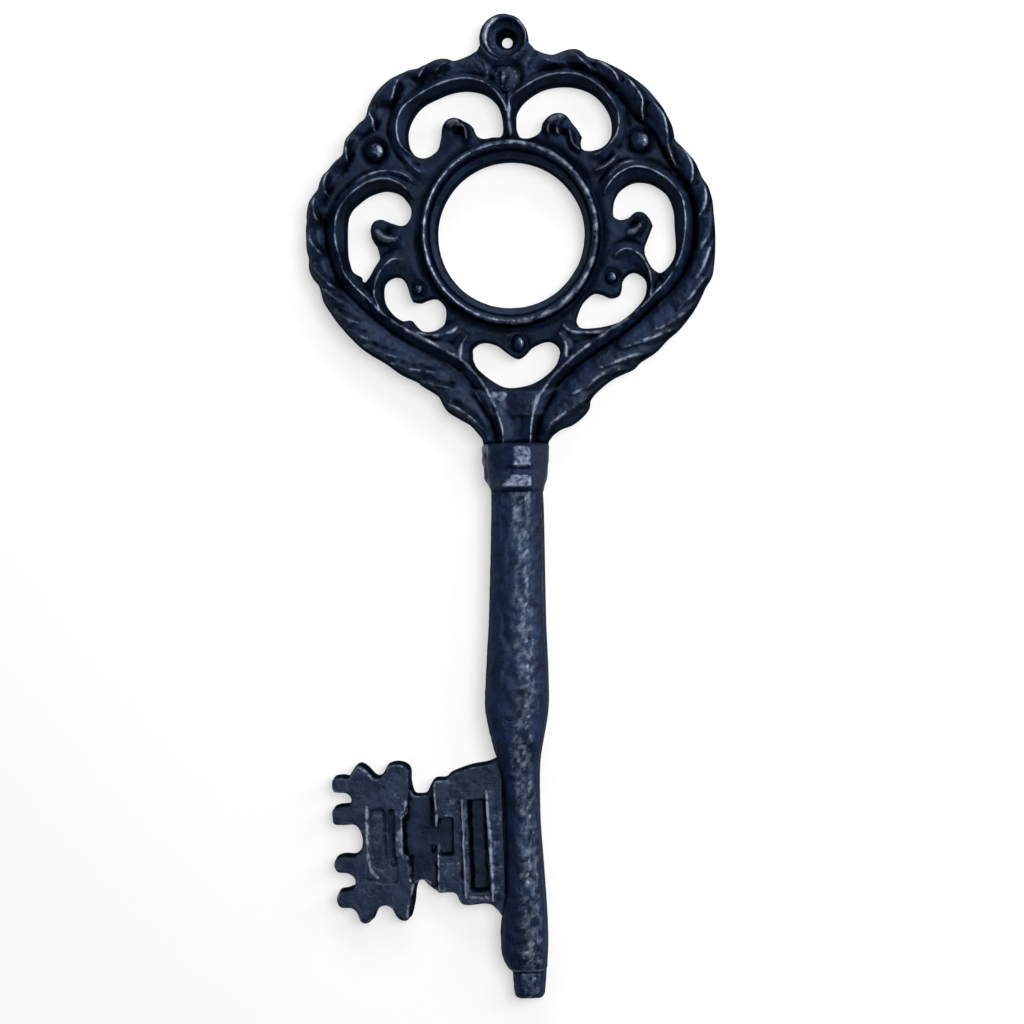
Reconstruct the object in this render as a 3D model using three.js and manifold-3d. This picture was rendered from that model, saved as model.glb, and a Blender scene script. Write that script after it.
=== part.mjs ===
// Decorative skeleton key in cast iron, 250 mm long, lying on its flat back.
// +Y runs along the key towards the hanging eye, +X to the right, +Z out of the ornate face.
// The bow is an openwork plate that carries a ring, rope borders, mouldings, curls and beads;
// below it come the neck, the collar, the shank with its bit, and the tip.
import * as THREE from 'three';
import { mergeVertices } from 'three/addons/utils/BufferGeometryUtils.js';
import Module from 'manifold-3d';

const wasm = await Module();
wasm.setup();

// Overall sizes, in millimetres
const KEY_LENGTH = 250;
const BOW_REACH = 52.5; // from the bow's middle line to its widest point
const CLEARANCE = 0.3; // between curved pieces that stand side by side
const OVERRUN = 2; // how far a cutter runs past what it cuts

// Bow plate and what stands on it
const PLATE_THICKNESS = 4;
const RING_RISE = 5;
const LEDGE_RISE = 2.4;
const EYE_RADIUS = 5.8;
const EYE_BORE = 2.6; // radius of the hanging hole
const EYE_SEAT = 0.9; // width of the flat seat round the hanging hole
const EYE_SEAT_RISE = 0.8;
const EYE_RISE = 3.6;
const EYE_STAND = 4; // from the bow's top edge up to the middle of the eye

// Rope border: twisted strands between the bow's edge and the mouldings
const BORDER_EDGE = 0.9; // height of the border's outer wall above the plate
const BORDER_RISE = 2.7;
const STRAND_RISE = 1.1;
const SCALLOP = 0.6; // how far each strand bulges past the edge line
const STRAND_COUNT = 17; // on each side of the bow

// Mouldings: raised cords that follow the openings
const MOULDING_RISE = 2.5;
const MOULDING_CREST = 0.35; // half the width of the cord's rounded top
const MOULDING_LIP = 0.5; // height of the slope's low edge
const COVE = 3.3; // widest slope from a cord's top down to its opening
const GROOVE = 1.3; // from a cord's top down to the groove behind it
const CURL_RISE = 3;
const CURL_WIDTH = 1.4; // half the width of a curl

// Beads: radius and rise are alike
const LARGE_BEAD = 3;
const SMALL_BEAD = 1.6;

// Neck and collar
const NECK_RISE = 2.2;
const NECK_STEP = 0.8;
const COLLAR_WIDTH = 8.2; // half width of the upper band
const COLLAR_DEPTH = 12.4;
const COLLAR_BAND = 5.6;
const COLLAR_GROOVE = 1.9;
const COLLAR_FOOT = 3.3;
const COLLAR_TAPER = 1.5;
const COLLAR_SINK = 0.9; // how deep the groove lies below the bands
const CHAMFER = 0.5;

// Shank, drawn with a flat back, straight side walls and a rounded face
const SHANK_SIDE = 7.2; // from the axis to the straight side that carries the bit
const SHANK_WALL = 5.4; // height of the straight side walls
const SHANK_DEPTH = 10.4;
const SWELL_END = 11.75; // from the top of the bit up to the thickest place of the shank
const TIP_LENGTH = 7.2;
const TIP_WALL = 3.4;
const TIP_DEPTH = 7;

// Bit
const BIT_REACH = 49.3; // from the shank's axis to the tips of the teeth
const BIT_HALF = 20.1; // half the bit's height
const BIT_FROM_TIP = 40.4; // from the end of the key up to the bit's middle
const BIT_WEB = 3.6; // thickness of the plate
const BLOCK_RISE = 1.6;
const PANEL_RISE = 0.7;
const TOOTH_WIDTH = 4.2;
const TOOTH_LENGTH = 5.2;
const SPUR_WIDTH = 3.4;
const SPUR_LENGTH = 3.8;

// How finely curves are drawn
const BORDER_STEPS = 96;
const RING_SIDES = 48;
const EYE_SIDES = 24;
const EYE_SIDES_BELOW = 1; // sides of the eye's outline below its middle, before the bow's edge begins
const BEAD_SIDES = 12;
const ARCH_STEPS = 8;
const DOME_STEPS = 4;
const KIDNEY_STEPS = 26;
const LOBE_STEPS = 20;
const HEART_STEPS = 28;
const UPPER_STEPS = 28;
const STRAP_STEPS = 44;
const BROW_STEPS = 10;
const LOBE_CORD_STEPS = 14;
const SILL_STEPS = 10;
const HEART_CORD_STEPS = 8;
const CURL_STEPS = 12;

// The ring, in shares of BOW_REACH: radius of the round window, the step inside the ring, and the ring's wall
const ringBoreShare = 0.3486;
const ringLedgeShare = 0.0324;
const ringWidthShare = 0.0628;

// Turned profiles: radius across the wall, from its inner side, and height, both as shares
const ringWallShares = [[1, 0.45], [0.8, 0.85], [0.55, 1], [0.2, 0.93], [0, 0.7]];
const ledgeDipShare = 0.85;
const eyeWallShares = [[1, 0.6], [0.85, 0.9], [0.65, 1], [0.3, 0.8]];

// Outlines of the bow in shares of BOW_REACH, for the right half; the left half mirrors them.
// Their origin is the middle of the round window.
const edgeShares = [
  [0.135, 0.875], [0.265, 0.865], [0.4, 0.835], [0.535, 0.775], [0.655, 0.685], [0.75, 0.57], [0.83, 0.43],
  [0.915, 0.27], [0.97, 0.135], [0.988, 0], [0.978, -0.115], [0.945, -0.25], [0.88, -0.38], [0.78, -0.5],
  [0.655, -0.605], [0.525, -0.685], [0.415, -0.76], [0.35, -0.84], [0.255, -0.92], [0.185, -0.97],
  [0.155, -1.015],
];
const borderInnerShares = [
  [0.09, 0.745], [0.15, 0.775], [0.23, 0.785], [0.315, 0.78], [0.4, 0.75], [0.475, 0.695], [0.54, 0.63],
  [0.59, 0.56], [0.645, 0.505], [0.705, 0.45], [0.74, 0.38], [0.77, 0.315], [0.815, 0.255], [0.86, 0.18],
  [0.885, 0.085], [0.885, -0.02], [0.87, -0.125], [0.83, -0.225], [0.765, -0.305], [0.685, -0.38],
  [0.58, -0.47], [0.465, -0.545], [0.36, -0.615], [0.275, -0.675], [0.21, -0.745], [0.16, -0.815],
  [0.125, -0.895], [0.105, -0.97], [0.1, -1.015],
];
const upperOpeningShares = [
  [0.04, 0.47], [0.03, 0.535], [0.045, 0.59], [0.095, 0.645], [0.17, 0.68], [0.25, 0.685], [0.325, 0.67],
  [0.4, 0.635], [0.455, 0.58], [0.49, 0.515], [0.49, 0.44], [0.46, 0.395], [0.415, 0.375], [0.37, 0.38],
  [0.345, 0.41], [0.335, 0.455], [0.315, 0.515], [0.28, 0.555], [0.23, 0.555], [0.185, 0.53],
  [0.165, 0.49], [0.135, 0.458], [0.085, 0.452],
];
const sideOpeningShares = [
  [0.485, 0.095], [0.495, 0.15], [0.535, 0.19], [0.59, 0.215], [0.655, 0.21], [0.725, 0.17], [0.77, 0.105],
  [0.79, 0.02], [0.79, -0.075], [0.775, -0.15], [0.745, -0.2], [0.705, -0.215], [0.67, -0.18],
  [0.645, -0.125], [0.645, -0.075], [0.665, -0.035], [0.68, 0.02], [0.66, 0.065], [0.625, 0.08],
  [0.57, 0.055], [0.53, 0.045], [0.495, 0.06],
];
const lobeOpeningShares = [
  [0.52, -0.25], [0.545, -0.215], [0.59, -0.21], [0.63, -0.25], [0.635, -0.295], [0.615, -0.345],
  [0.57, -0.405], [0.51, -0.44], [0.44, -0.47], [0.36, -0.475], [0.32, -0.445], [0.32, -0.395],
  [0.34, -0.345], [0.38, -0.315], [0.425, -0.32], [0.47, -0.335], [0.5, -0.31],
];
const heartHalfShares = [
  [0.03, -0.59], [0.08, -0.55], [0.135, -0.535], [0.185, -0.545], [0.205, -0.58], [0.195, -0.625],
  [0.165, -0.67], [0.11, -0.72], [0.05, -0.745],
];
const heartNotchShare = -0.61;
const heartFootShare = -0.752;
const neckShare = -1.023; // where the bow ends against the collar

// Paths of the mouldings' tops; each runs with its opening on the right hand.
// The third number of a point is the width of the slope there, as a share of COVE.
const upperCordShares = [
  [0.012, 0.6, 0.3], [0.025, 0.645, 0.5], [0.065, 0.69, 0.8], [0.135, 0.735, 1], [0.21, 0.755, 1],
  [0.295, 0.75, 1], [0.37, 0.725, 1], [0.445, 0.68, 1], [0.505, 0.615, 1], [0.535, 0.55, 1],
  [0.535, 0.495, 0.9], [0.515, 0.44, 0.8], [0.475, 0.39, 0.6], [0.42, 0.36, 0.4],
];
const strapShares = [
  [0.46, 0.17, 0.4], [0.49, 0.225, 0.8], [0.55, 0.27, 1], [0.63, 0.285, 1], [0.715, 0.26, 1], [0.785, 0.2, 1],
  [0.83, 0.135, 1], [0.845, 0.05, 1], [0.84, -0.04, 1], [0.815, -0.145, 0.9], [0.775, -0.23, 0.7],
  [0.705, -0.3, 0.5], [0.64, -0.36, 0.5], [0.545, -0.44, 0.5], [0.44, -0.505, 0.4], [0.335, -0.575, 0.4],
  [0.25, -0.635, 0.4], [0.175, -0.705, 0.5], [0.125, -0.785, 0.4], [0.095, -0.865, 0.3],
  [0.075, -0.95, 0.3], [0.068, -1.01, 0.3],
];
const browShares = [
  [0.455, 0.258, 0.2], [0.515, 0.3, 0.2], [0.59, 0.325, 0.2], [0.685, 0.312, 0.2], [0.76, 0.268, 0.2],
];
const lobeCordShares = [
  [0.485, -0.145, 0.5], [0.525, -0.11, 1], [0.575, -0.105, 1], [0.63, -0.15, 1], [0.665, -0.215, 0.7],
  [0.67, -0.275, 0.5], [0.65, -0.34, 0.3],
];
const sillShares = [
  [0.485, -0.475, 0.3], [0.43, -0.49, 0.3], [0.37, -0.495, 0.3], [0.305, -0.48, 0.3], [0.265, -0.455, 0.5],
  [0.235, -0.43, 0.5],
];
const heartCordShares = [
  [0.205, -0.475, 1], [0.24, -0.515, 1], [0.255, -0.56, 0.8], [0.255, -0.605, 0.6],
];
const upperCurlShares = [
  [0.308, 0.44], [0.305, 0.485], [0.29, 0.52], [0.26, 0.535], [0.225, 0.525], [0.205, 0.495], [0.2, 0.46],
];
const sideCurlShares = [[0.525, -0.025], [0.57, -0.015], [0.605, 0.005], [0.63, 0.035], [0.625, 0.065]];
const topBeadShares = [0, 0.748];
const upperBeadShares = [0.64, 0.413];
const lowerBeadShares = [0.468, -0.243];
const heartBeadShares = [0.006, -0.535];

// Rope border across its width, from the edge of the bow inwards: place, height and strand height
const borderSectionShares = [
  [0, 0, 0.2], [0.12, 0.62, 0.8], [0.36, 1, 1], [0.64, 0.92, 1], [0.86, 0.6, 0.6], [1, 0.1, 0],
];
const strandSlantShares = [0.9, 2]; // turn of a strand across the border, at the top and at the neck
const strandLeanShare = 0.7; // under 1, a strand rises quickly and falls off slowly
const scallopMeanShare = 0.5; // the edge line runs half way up the bulges
const borderReachShare = 1.2; // past the border, and past the whole bow
const bowTopShare = 0.1;

// Curl across its width: place and height; its ends are lower than its middle
const curlSectionShares = [[-1, 0], [-0.85, 0.6], [-0.35, 1], [0.35, 1], [0.85, 0.6], [1, 0]];
const curlEndShare = 0.45;
const postOverlapShare = 0.02; // how far the centre post runs in between the upper mouldings

// Neck panel, down the key: place, half width in shares of BOW_REACH, and height
const neckPanelShares = [
  [-0.775, 0.085, 0.3], [-0.8, 0.078, 0.75], [-0.885, 0.054, 1], [-0.89, 0.053, 0.6], [-0.95, 0.035, 0.7],
  [-1.015, 0.03, 0.7],
];

// Shank down its length: place, left and right half widths in shares of SHANK_SIDE, and depth
const swellShares = [
  [0, 0.93, 0.89, 0.94], [0.25, 0.985, 0.875, 0.96], [0.5, 1.08, 0.86, 1], [0.75, 1.22, 0.88, 1.04],
  [0.9, 1.33, 0.88, 1.06], [1, 1.31, 0.86, 1.04],
];
const stemShares = [
  [0, 1.22, 0.78, 1], [0.07, 1.12, 0.62, 0.96], [0.12, 1.04, 0.54, 0.93], [0.19, 1, 0.48, 0.9],
  [0.42, 1, 0.46, 0.88], [0.66, 1, 0.56, 0.88], [0.8, 1, 0.62, 0.88], [0.91, 1, 0.61, 0.86],
  [0.955, 0.92, 0.57, 0.82], [1, 0.66, 0.55, 0.68],
];
const tipShares = [
  [0, 0.6, 0.53, 1], [0.45, 0.58, 0.49, 0.97], [0.86, 0.56, 0.46, 0.9], [1, 0.48, 0.38, 0.7],
];

// Bit, lower half: from the shank outwards in shares of the bit's span, and down in shares of BIT_HALF
const bitRootShares = [
  [0, 0.97], [0.035, 0.89], [0.08, 0.84], [0.2, 0.835], [0.25, 0.775], [0.275, 0.705], [0.37, 0.695],
  [0.41, 0.625], [0.43, 0.55], [0.505, 0.55], [0.53, 0.6],
];
const spurPlaceShares = [0.585, 0.81];
const spurRootShare = 0.8;
const toothPlaceShares = [0.72, 0.31];
const toothEaseShare = 0.2;
const toothArcShares = [[0.834, 0.12], [0.815, 0]];

// Relief on the bit: left edge, right edge, top and bottom of each field, in the same shares
const outerBlockShares = [1, 0.553, 1, -1];
const innerBlockShares = [0.4, 0, 1, -1];
const pocketShares = [0.36, 0.275, 0.26, -0.2];
const pocketMouthShares = [0.42, 0.36, 0.12, -0.08];
const slotShares = [0.2, 0.075, 0.52, -0.58];
const panelShares = [0.785, 0.65, 0.44, -0.42];

const plateTop = PLATE_THICKNESS;
const ringBore = ringBoreShare * BOW_REACH;
const ringStep = ringBore + ringLedgeShare * BOW_REACH;
const ringRadius = ringStep + ringWidthShare * BOW_REACH;
const eyeY = edgeShares[0][1] * BOW_REACH + EYE_STAND;
const bowY = KEY_LENGTH / 2 - eyeY - EYE_RADIUS;
const collarTop = bowY + neckShare * BOW_REACH;
const shankTop = collarTop - COLLAR_BAND - COLLAR_GROOVE - COLLAR_FOOT - COLLAR_TAPER;
const tipTop = TIP_LENGTH - KEY_LENGTH / 2;
const bitY = BIT_FROM_TIP - KEY_LENGTH / 2;
const stemTop = bitY + BIT_HALF + SWELL_END;
const bitSpan = BIT_REACH - SHANK_SIDE;
const tallest = plateTop + RING_RISE + EYE_RISE + OVERRUN;

const iron = { color: 0x20232c, roughness: 0.5, metalness: 0.6 };
const wornIron = { color: 0x3a3f4c, roughness: 0.42, metalness: 0.7 };

// Curves, solids and cuts

function smoothLine(shares, side, steps, closed = false) {
  const places = shares.map(([x, y]) => new THREE.Vector3(side * x * BOW_REACH, y * BOW_REACH, 0));
  const line = new THREE.CatmullRomCurve3(places, closed).getSpacedPoints(steps);
  if (closed) line.pop();
  return line;
}

function circleLine(radius, sides, centreY = 0) {
  return Array.from({ length: sides }, (_, i) => {
    const turn = (2 * Math.PI * i) / sides;
    return new THREE.Vector3(radius * Math.cos(turn), centreY + radius * Math.sin(turn), 0);
  });
}

function slab(outline, bottom, top, holes = []) {
  const flat = (line) => line.map((p) => new THREE.Vector2(p.x, p.y));
  const shape = new THREE.Shape(flat(outline));
  shape.holes = holes.map((hole) => new THREE.Path(flat(hole)));
  const geometry = new THREE.ExtrudeGeometry(shape, { depth: top - bottom, bevelEnabled: false });
  return geometry.translate(0, 0, bottom);
}

function block(left, right, low, high, bottom, top) {
  const geometry = new THREE.BoxGeometry(right - left, high - low, top - bottom);
  return geometry.translate((left + right) / 2, (low + high) / 2, (bottom + top) / 2);
}

// Joins rings of equally many points into one closed skin and turns its faces outwards.
function loft(rings) {
  const count = rings[0].length;
  const places = rings.flat();
  const faces = [];
  for (let i = 0; i < rings.length - 1; i += 1) {
    for (let j = 0; j < count; j += 1) {
      const a = i * count + j;
      const b = i * count + ((j + 1) % count);
      faces.push([a, b, b + count], [a, b + count, a + count]);
    }
  }
  const last = (rings.length - 1) * count;
  for (let j = 1; j < count - 1; j += 1) {
    faces.push([0, j + 1, j], [last, last + j, last + j + 1]);
  }
  const volume = faces.reduce((sum, [a, b, c]) => {
    return sum + places[a].dot(places[b].clone().cross(places[c]));
  }, 0);
  const index = volume > 0 ? faces.flat() : faces.map(([a, b, c]) => [a, c, b]).flat();
  const geometry = new THREE.BufferGeometry().setFromPoints(places);
  geometry.setIndex(index);
  return geometry;
}

function solidOf(geometry) {
  const bare = geometry.clone();
  bare.deleteAttribute('normal');
  bare.deleteAttribute('uv');
  const merged = mergeVertices(bare);
  const vertProperties = new Float32Array(merged.attributes.position.array);
  const triVerts = new Uint32Array(merged.index.array);
  return new wasm.Manifold(new wasm.Mesh({ numProp: 3, vertProperties, triVerts }));
}

function geometryOf(solid) {
  const { vertProperties, triVerts } = solid.getMesh();
  const geometry = new THREE.BufferGeometry();
  geometry.setAttribute('position', new THREE.BufferAttribute(vertProperties, 3));
  geometry.setIndex(new THREE.BufferAttribute(triVerts, 1));
  return geometry;
}

function cut(geometry, ...tools) {
  return geometryOf(tools.reduce((solid, tool) => solid.subtract(solidOf(tool)), solidOf(geometry)));
}

function common(geometry, ...tools) {
  return geometryOf(tools.reduce((solid, tool) => solid.intersect(solidOf(tool)), solidOf(geometry)));
}

function mesh(name, geometry, finish) {
  const piece = new THREE.Mesh(geometry, new THREE.MeshStandardMaterial(finish));
  piece.name = name;
  return piece;
}

// The bow's plate

function heartLine() {
  const right = [[0, heartNotchShare], ...heartHalfShares, [0, heartFootShare]];
  const left = heartHalfShares.map(([x, y]) => [-x, y]).reverse();
  return smoothLine([...right, ...left], 1, HEART_STEPS, true);
}

function openingsOf(side) {
  return [
    smoothLine(upperOpeningShares, side, KIDNEY_STEPS, true),
    smoothLine(sideOpeningShares, side, KIDNEY_STEPS, true),
    smoothLine(lobeOpeningShares, side, LOBE_STEPS, true),
  ];
}

// The bow's edge: each strand of the rope border bulges a little past the edge line.
function scallopedEdge(side) {
  const line = smoothLine(edgeShares, side, BORDER_STEPS);
  return line.map((p, i) => {
    const along = line[Math.min(i + 1, BORDER_STEPS)].clone().sub(line[Math.max(i - 1, 0)]).normalize();
    const outward = new THREE.Vector3(-along.y, along.x, 0).multiplyScalar(side);
    const bulge = Math.abs(Math.sin((Math.PI * STRAND_COUNT * i) / BORDER_STEPS)) - scallopMeanShare;
    return p.clone().addScaledVector(outward, i % BORDER_STEPS === 0 ? 0 : bulge * SCALLOP);
  });
}

function eyeArc() {
  const steps = EYE_SIDES / 2 + 2 * EYE_SIDES_BELOW;
  return Array.from({ length: steps + 1 }, (_, i) => {
    const turn = (2 * Math.PI * (i - EYE_SIDES_BELOW)) / EYE_SIDES;
    return new THREE.Vector3(EYE_RADIUS * Math.cos(turn), eyeY + EYE_RADIUS * Math.sin(turn), 0);
  });
}

function bowPlate() {
  const right = scallopedEdge(1).reverse();
  const left = scallopedEdge(-1);
  const neck = [-1, 1].map((side) => {
    const end = edgeShares[edgeShares.length - 1][0];
    return new THREE.Vector3(side * end * BOW_REACH, neckShare * BOW_REACH, 0);
  });
  const outline = [...neck, ...right, ...eyeArc(), ...left];
  const holes = [
    ...openingsOf(1), ...openingsOf(-1), heartLine(),
    circleLine(ringBore, RING_SIDES), circleLine(EYE_BORE, EYE_SIDES, eyeY),
  ];
  return slab(outline, 0, plateTop, holes);
}

// Ring, eye and beads are turned shapes; each profile is given as radius and height.

function turned(profile, sides) {
  const geometry = new THREE.LatheGeometry(profile.map(([r, h]) => new THREE.Vector2(r, h)), sides);
  return geometry.rotateX(Math.PI / 2);
}

function centreRing() {
  const width = ringRadius - ringStep;
  const wall = ringWallShares.map(([across, up]) => [ringStep + across * width, up * RING_RISE]);
  const ledge = [[ringStep, LEDGE_RISE], [ringBore, ledgeDipShare * LEDGE_RISE]];
  return turned([[ringBore, 0], [ringRadius, 0], ...wall, ...ledge, [ringBore, 0]], RING_SIDES);
}

function hangingEye() {
  const seat = EYE_BORE + EYE_SEAT;
  const wall = eyeWallShares.map(([across, up]) => [seat + across * (EYE_RADIUS - seat), up * EYE_RISE]);
  const dish = [[seat, EYE_SEAT_RISE], [EYE_BORE, EYE_SEAT_RISE]];
  return turned([[EYE_BORE, 0], [EYE_RADIUS, 0], ...wall, ...dish, [EYE_BORE, 0]], EYE_SIDES);
}

function bead(radius) {
  const dome = Array.from({ length: DOME_STEPS }, (_, i) => {
    const turn = (Math.PI * i) / (2 * DOME_STEPS);
    return [radius * Math.cos(turn), radius * Math.sin(turn)];
  });
  return turned([[0, 0], ...dome, [0, radius]], BEAD_SIDES);
}

// Rope border: a lofted strip whose slanting strands rise one after another.

function strandHeight(along, across) {
  const [slantAtTop, slantAtNeck] = strandSlantShares;
  const slant = slantAtTop + (slantAtNeck - slantAtTop) * along;
  const turn = STRAND_COUNT * along - slant * across;
  const share = turn - Math.floor(turn);
  return Math.sin(Math.PI * share ** strandLeanShare);
}

function ropeBorder(side) {
  const edge = scallopedEdge(side);
  const inner = smoothLine(borderInnerShares, side, BORDER_STEPS);
  const rings = edge.map((from, i) => {
    const to = inner[i];
    const skin = borderSectionShares.map(([across, heightShare, strandShare]) => {
      const p = from.clone().lerp(to, across);
      const strand = strandShare * STRAND_RISE * strandHeight(i / BORDER_STEPS, across);
      p.z = plateTop + BORDER_EDGE + heightShare * BORDER_RISE + strand;
      return p;
    });
    const foot = (p) => new THREE.Vector3(p.x, p.y, plateTop);
    return [foot(from), ...skin, foot(to)];
  });
  return cut(loft(rings), slab(circleLine(EYE_RADIUS + CLEARANCE, EYE_SIDES, eyeY), 0, tallest));
}

// Ground plan of a rope border with clearance round it, used to trim what lies inside it
function borderRoom(side) {
  const inner = smoothLine(borderInnerShares, side, BORDER_STEPS);
  const grown = inner.map((p, i) => {
    const along = inner[Math.min(i + 1, BORDER_STEPS)].clone().sub(inner[Math.max(i - 1, 0)]).normalize();
    return p.clone().addScaledVector(new THREE.Vector3(along.y, -along.x, 0), side * CLEARANCE);
  });
  const past = borderReachShare;
  const outside = [[past, -past], [past, past], [bowTopShare, past]];
  const corners = outside.map(([x, y]) => new THREE.Vector3(side * x * BOW_REACH, y * BOW_REACH, 0));
  return slab([...grown, ...corners], 0, tallest);
}

// Mouldings: a cord with a slope down to its opening on one hand and a groove on the other.
// With room given, the same moulding is wider and taller all round, to trim its neighbours.
function moulding(shares, side, steps, room = 0) {
  const places = shares.map(([x, y, slope]) => new THREE.Vector3(side * x * BOW_REACH, y * BOW_REACH, slope));
  const line = new THREE.CatmullRomCurve3(places).getSpacedPoints(steps);
  const rings = line.map((p, i) => {
    const along = line[Math.min(i + 1, steps)].clone().sub(line[Math.max(i - 1, 0)]);
    const inward = new THREE.Vector3(along.y, -along.x, 0).normalize().multiplyScalar(side);
    const slope = MOULDING_CREST + p.z * COVE + room;
    const section = [
      [-GROOVE - room, 0], [-GROOVE - room, MOULDING_LIP + room],
      [-MOULDING_CREST - room, MOULDING_RISE + room], [MOULDING_CREST + room, MOULDING_RISE + room],
      [slope, MOULDING_LIP + room], [slope, 0],
    ];
    return section.map(([offset, height]) => {
      return new THREE.Vector3(p.x + inward.x * offset, p.y + inward.y * offset, plateTop + height);
    });
  });
  return loft(rings);
}

function openingCutters(side) {
  return [...openingsOf(side), heartLine()].map((line) => slab(line, 0, tallest));
}

const ringRoom = slab(circleLine(ringRadius + CLEARANCE, RING_SIDES), 0, tallest);
const topBeadRoom = slab(
  circleLine(LARGE_BEAD + CLEARANCE, BEAD_SIDES, topBeadShares[1] * BOW_REACH), 0, tallest,
);

function acrossMiddle(side) {
  const reach = BOW_REACH * side;
  const near = (CLEARANCE / 2) * side;
  return block(Math.min(-reach, near), Math.max(-reach, near), -BOW_REACH, BOW_REACH, 0, tallest);
}

function centrePost(room = 0) {
  const foot = ringRadius + CLEARANCE - room;
  const head = (upperCordShares[0][1] + postOverlapShare) * BOW_REACH + room;
  const half = GROOVE + room;
  const rings = [foot, head].map((y) => [
    new THREE.Vector3(-half, y, plateTop), new THREE.Vector3(-half, y, plateTop + MOULDING_LIP + room),
    new THREE.Vector3(0, y, plateTop + MOULDING_RISE + room),
    new THREE.Vector3(half, y, plateTop + MOULDING_LIP + room), new THREE.Vector3(half, y, plateTop),
  ]);
  return loft(rings);
}

// Curls: short rounded scrolls on the knobs between the openings
function curl(shares, side, steps) {
  const line = smoothLine(shares, side, steps);
  const rings = line.map((p, i) => {
    const along = line[Math.min(i + 1, steps)].clone().sub(line[Math.max(i - 1, 0)]);
    const across = new THREE.Vector3(along.y, -along.x, 0).normalize().multiplyScalar(CURL_WIDTH);
    const rise = CURL_RISE * (curlEndShare + (1 - curlEndShare) * Math.sin((Math.PI * i) / steps));
    return curlSectionShares.map(([x, h]) => {
      return new THREE.Vector3(p.x + x * across.x, p.y + x * across.y, plateTop + h * rise);
    });
  });
  return loft(rings);
}

function neckPanel() {
  const rings = neckPanelShares.map(([y, half, rise]) => {
    const place = y * BOW_REACH;
    const reach = half * BOW_REACH;
    const top = plateTop + NECK_STEP + rise * (NECK_RISE - NECK_STEP);
    return [
      new THREE.Vector3(-reach, place, plateTop), new THREE.Vector3(-reach, place, top),
      new THREE.Vector3(reach, place, top), new THREE.Vector3(reach, place, plateTop),
    ];
  });
  return loft(rings);
}

function bowOf() {
  const bow = new THREE.Group();
  bow.position.y = bowY;
  bow.add(mesh('bow_plate', bowPlate(), iron));
  const ring = mesh('centre_ring', centreRing(), wornIron);
  ring.position.z = plateTop;
  const eye = mesh('hanging_eye', hangingEye(), wornIron);
  eye.position.set(0, eyeY, plateTop);
  const post = cut(centrePost(), ...openingCutters(1), ...openingCutters(-1));
  bow.add(ring, eye, mesh('centre_post', post, iron));

  const straps = [1, -1].map((side) => moulding(strapShares, side, STRAP_STEPS, CLEARANCE));
  for (const [side, hand] of [[1, 'right'], [-1, 'left']]) {
    const openings = openingCutters(side);
    const trim = [...openings, ringRoom, borderRoom(side), acrossMiddle(side)];
    const strapRoom = moulding(strapShares, side, STRAP_STEPS, CLEARANCE);
    const sillRoom = moulding(sillShares, side, SILL_STEPS, CLEARANCE);
    bow.add(
      mesh(`rope_border_${hand}`, ropeBorder(side), wornIron),
      mesh(
        `upper_moulding_${hand}`,
        cut(moulding(upperCordShares, side, UPPER_STEPS), ...trim, centrePost(CLEARANCE), topBeadRoom), iron,
      ),
      mesh(`strap_moulding_${hand}`, cut(moulding(strapShares, side, STRAP_STEPS), ...trim), iron),
      mesh(`brow_moulding_${hand}`, cut(moulding(browShares, side, BROW_STEPS), ...trim, strapRoom), iron),
      mesh(
        `lobe_moulding_${hand}`,
        cut(moulding(lobeCordShares, side, LOBE_CORD_STEPS), ...trim, strapRoom), iron,
      ),
      mesh(`sill_moulding_${hand}`, cut(moulding(sillShares, side, SILL_STEPS), ...trim, strapRoom), iron),
      mesh(
        `heart_moulding_${hand}`,
        cut(moulding(heartCordShares, side, HEART_CORD_STEPS), ...trim, strapRoom, sillRoom), iron,
      ),
      mesh(
        `upper_curl_${hand}`,
        cut(curl(upperCurlShares, side, CURL_STEPS), ...openings, ringRoom), wornIron,
      ),
      mesh(
        `side_curl_${hand}`,
        cut(curl(sideCurlShares, side, CURL_STEPS), ...openings, ringRoom), wornIron,
      ),
    );
  }
  bow.add(mesh('neck_panel', cut(neckPanel(), ...straps, ...openingCutters(1)), iron));

  const beads = [
    ['top_bead', topBeadShares, 1, LARGE_BEAD],
    ['upper_bead_right', upperBeadShares, 1, LARGE_BEAD],
    ['upper_bead_left', upperBeadShares, -1, LARGE_BEAD],
    ['lower_bead_right', lowerBeadShares, 1, SMALL_BEAD],
    ['lower_bead_left', lowerBeadShares, -1, SMALL_BEAD],
    ['heart_bead', heartBeadShares, 1, SMALL_BEAD],
  ];
  for (const [name, [x, y], side, radius] of beads) {
    const piece = mesh(name, bead(radius), wornIron);
    piece.position.set(side * x * BOW_REACH, y * BOW_REACH, plateTop);
    bow.add(piece);
  }
  return bow;
}

// Collar, shank and tip share one kind of section: flat back, straight walls, rounded face.
function archRing(y, left, right, wall, depth) {
  const ring = [new THREE.Vector3(right, y, 0)];
  for (let k = 0; k <= ARCH_STEPS; k += 1) {
    const turn = (Math.PI * k) / ARCH_STEPS;
    const x = Math.cos(turn);
    ring.push(new THREE.Vector3(x > 0 ? right * x : left * x, y, wall + (depth - wall) * Math.sin(turn)));
  }
  ring.push(new THREE.Vector3(-left, y, 0));
  return ring;
}

function collarBand(top, height) {
  const rings = [[0, CHAMFER], [CHAMFER, 0], [height - CHAMFER, 0], [height, CHAMFER]].map(([down, less]) => {
    const half = COLLAR_WIDTH - less;
    return archRing(top - down, half, half, SHANK_WALL, COLLAR_DEPTH - less);
  });
  return loft(rings);
}

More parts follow.
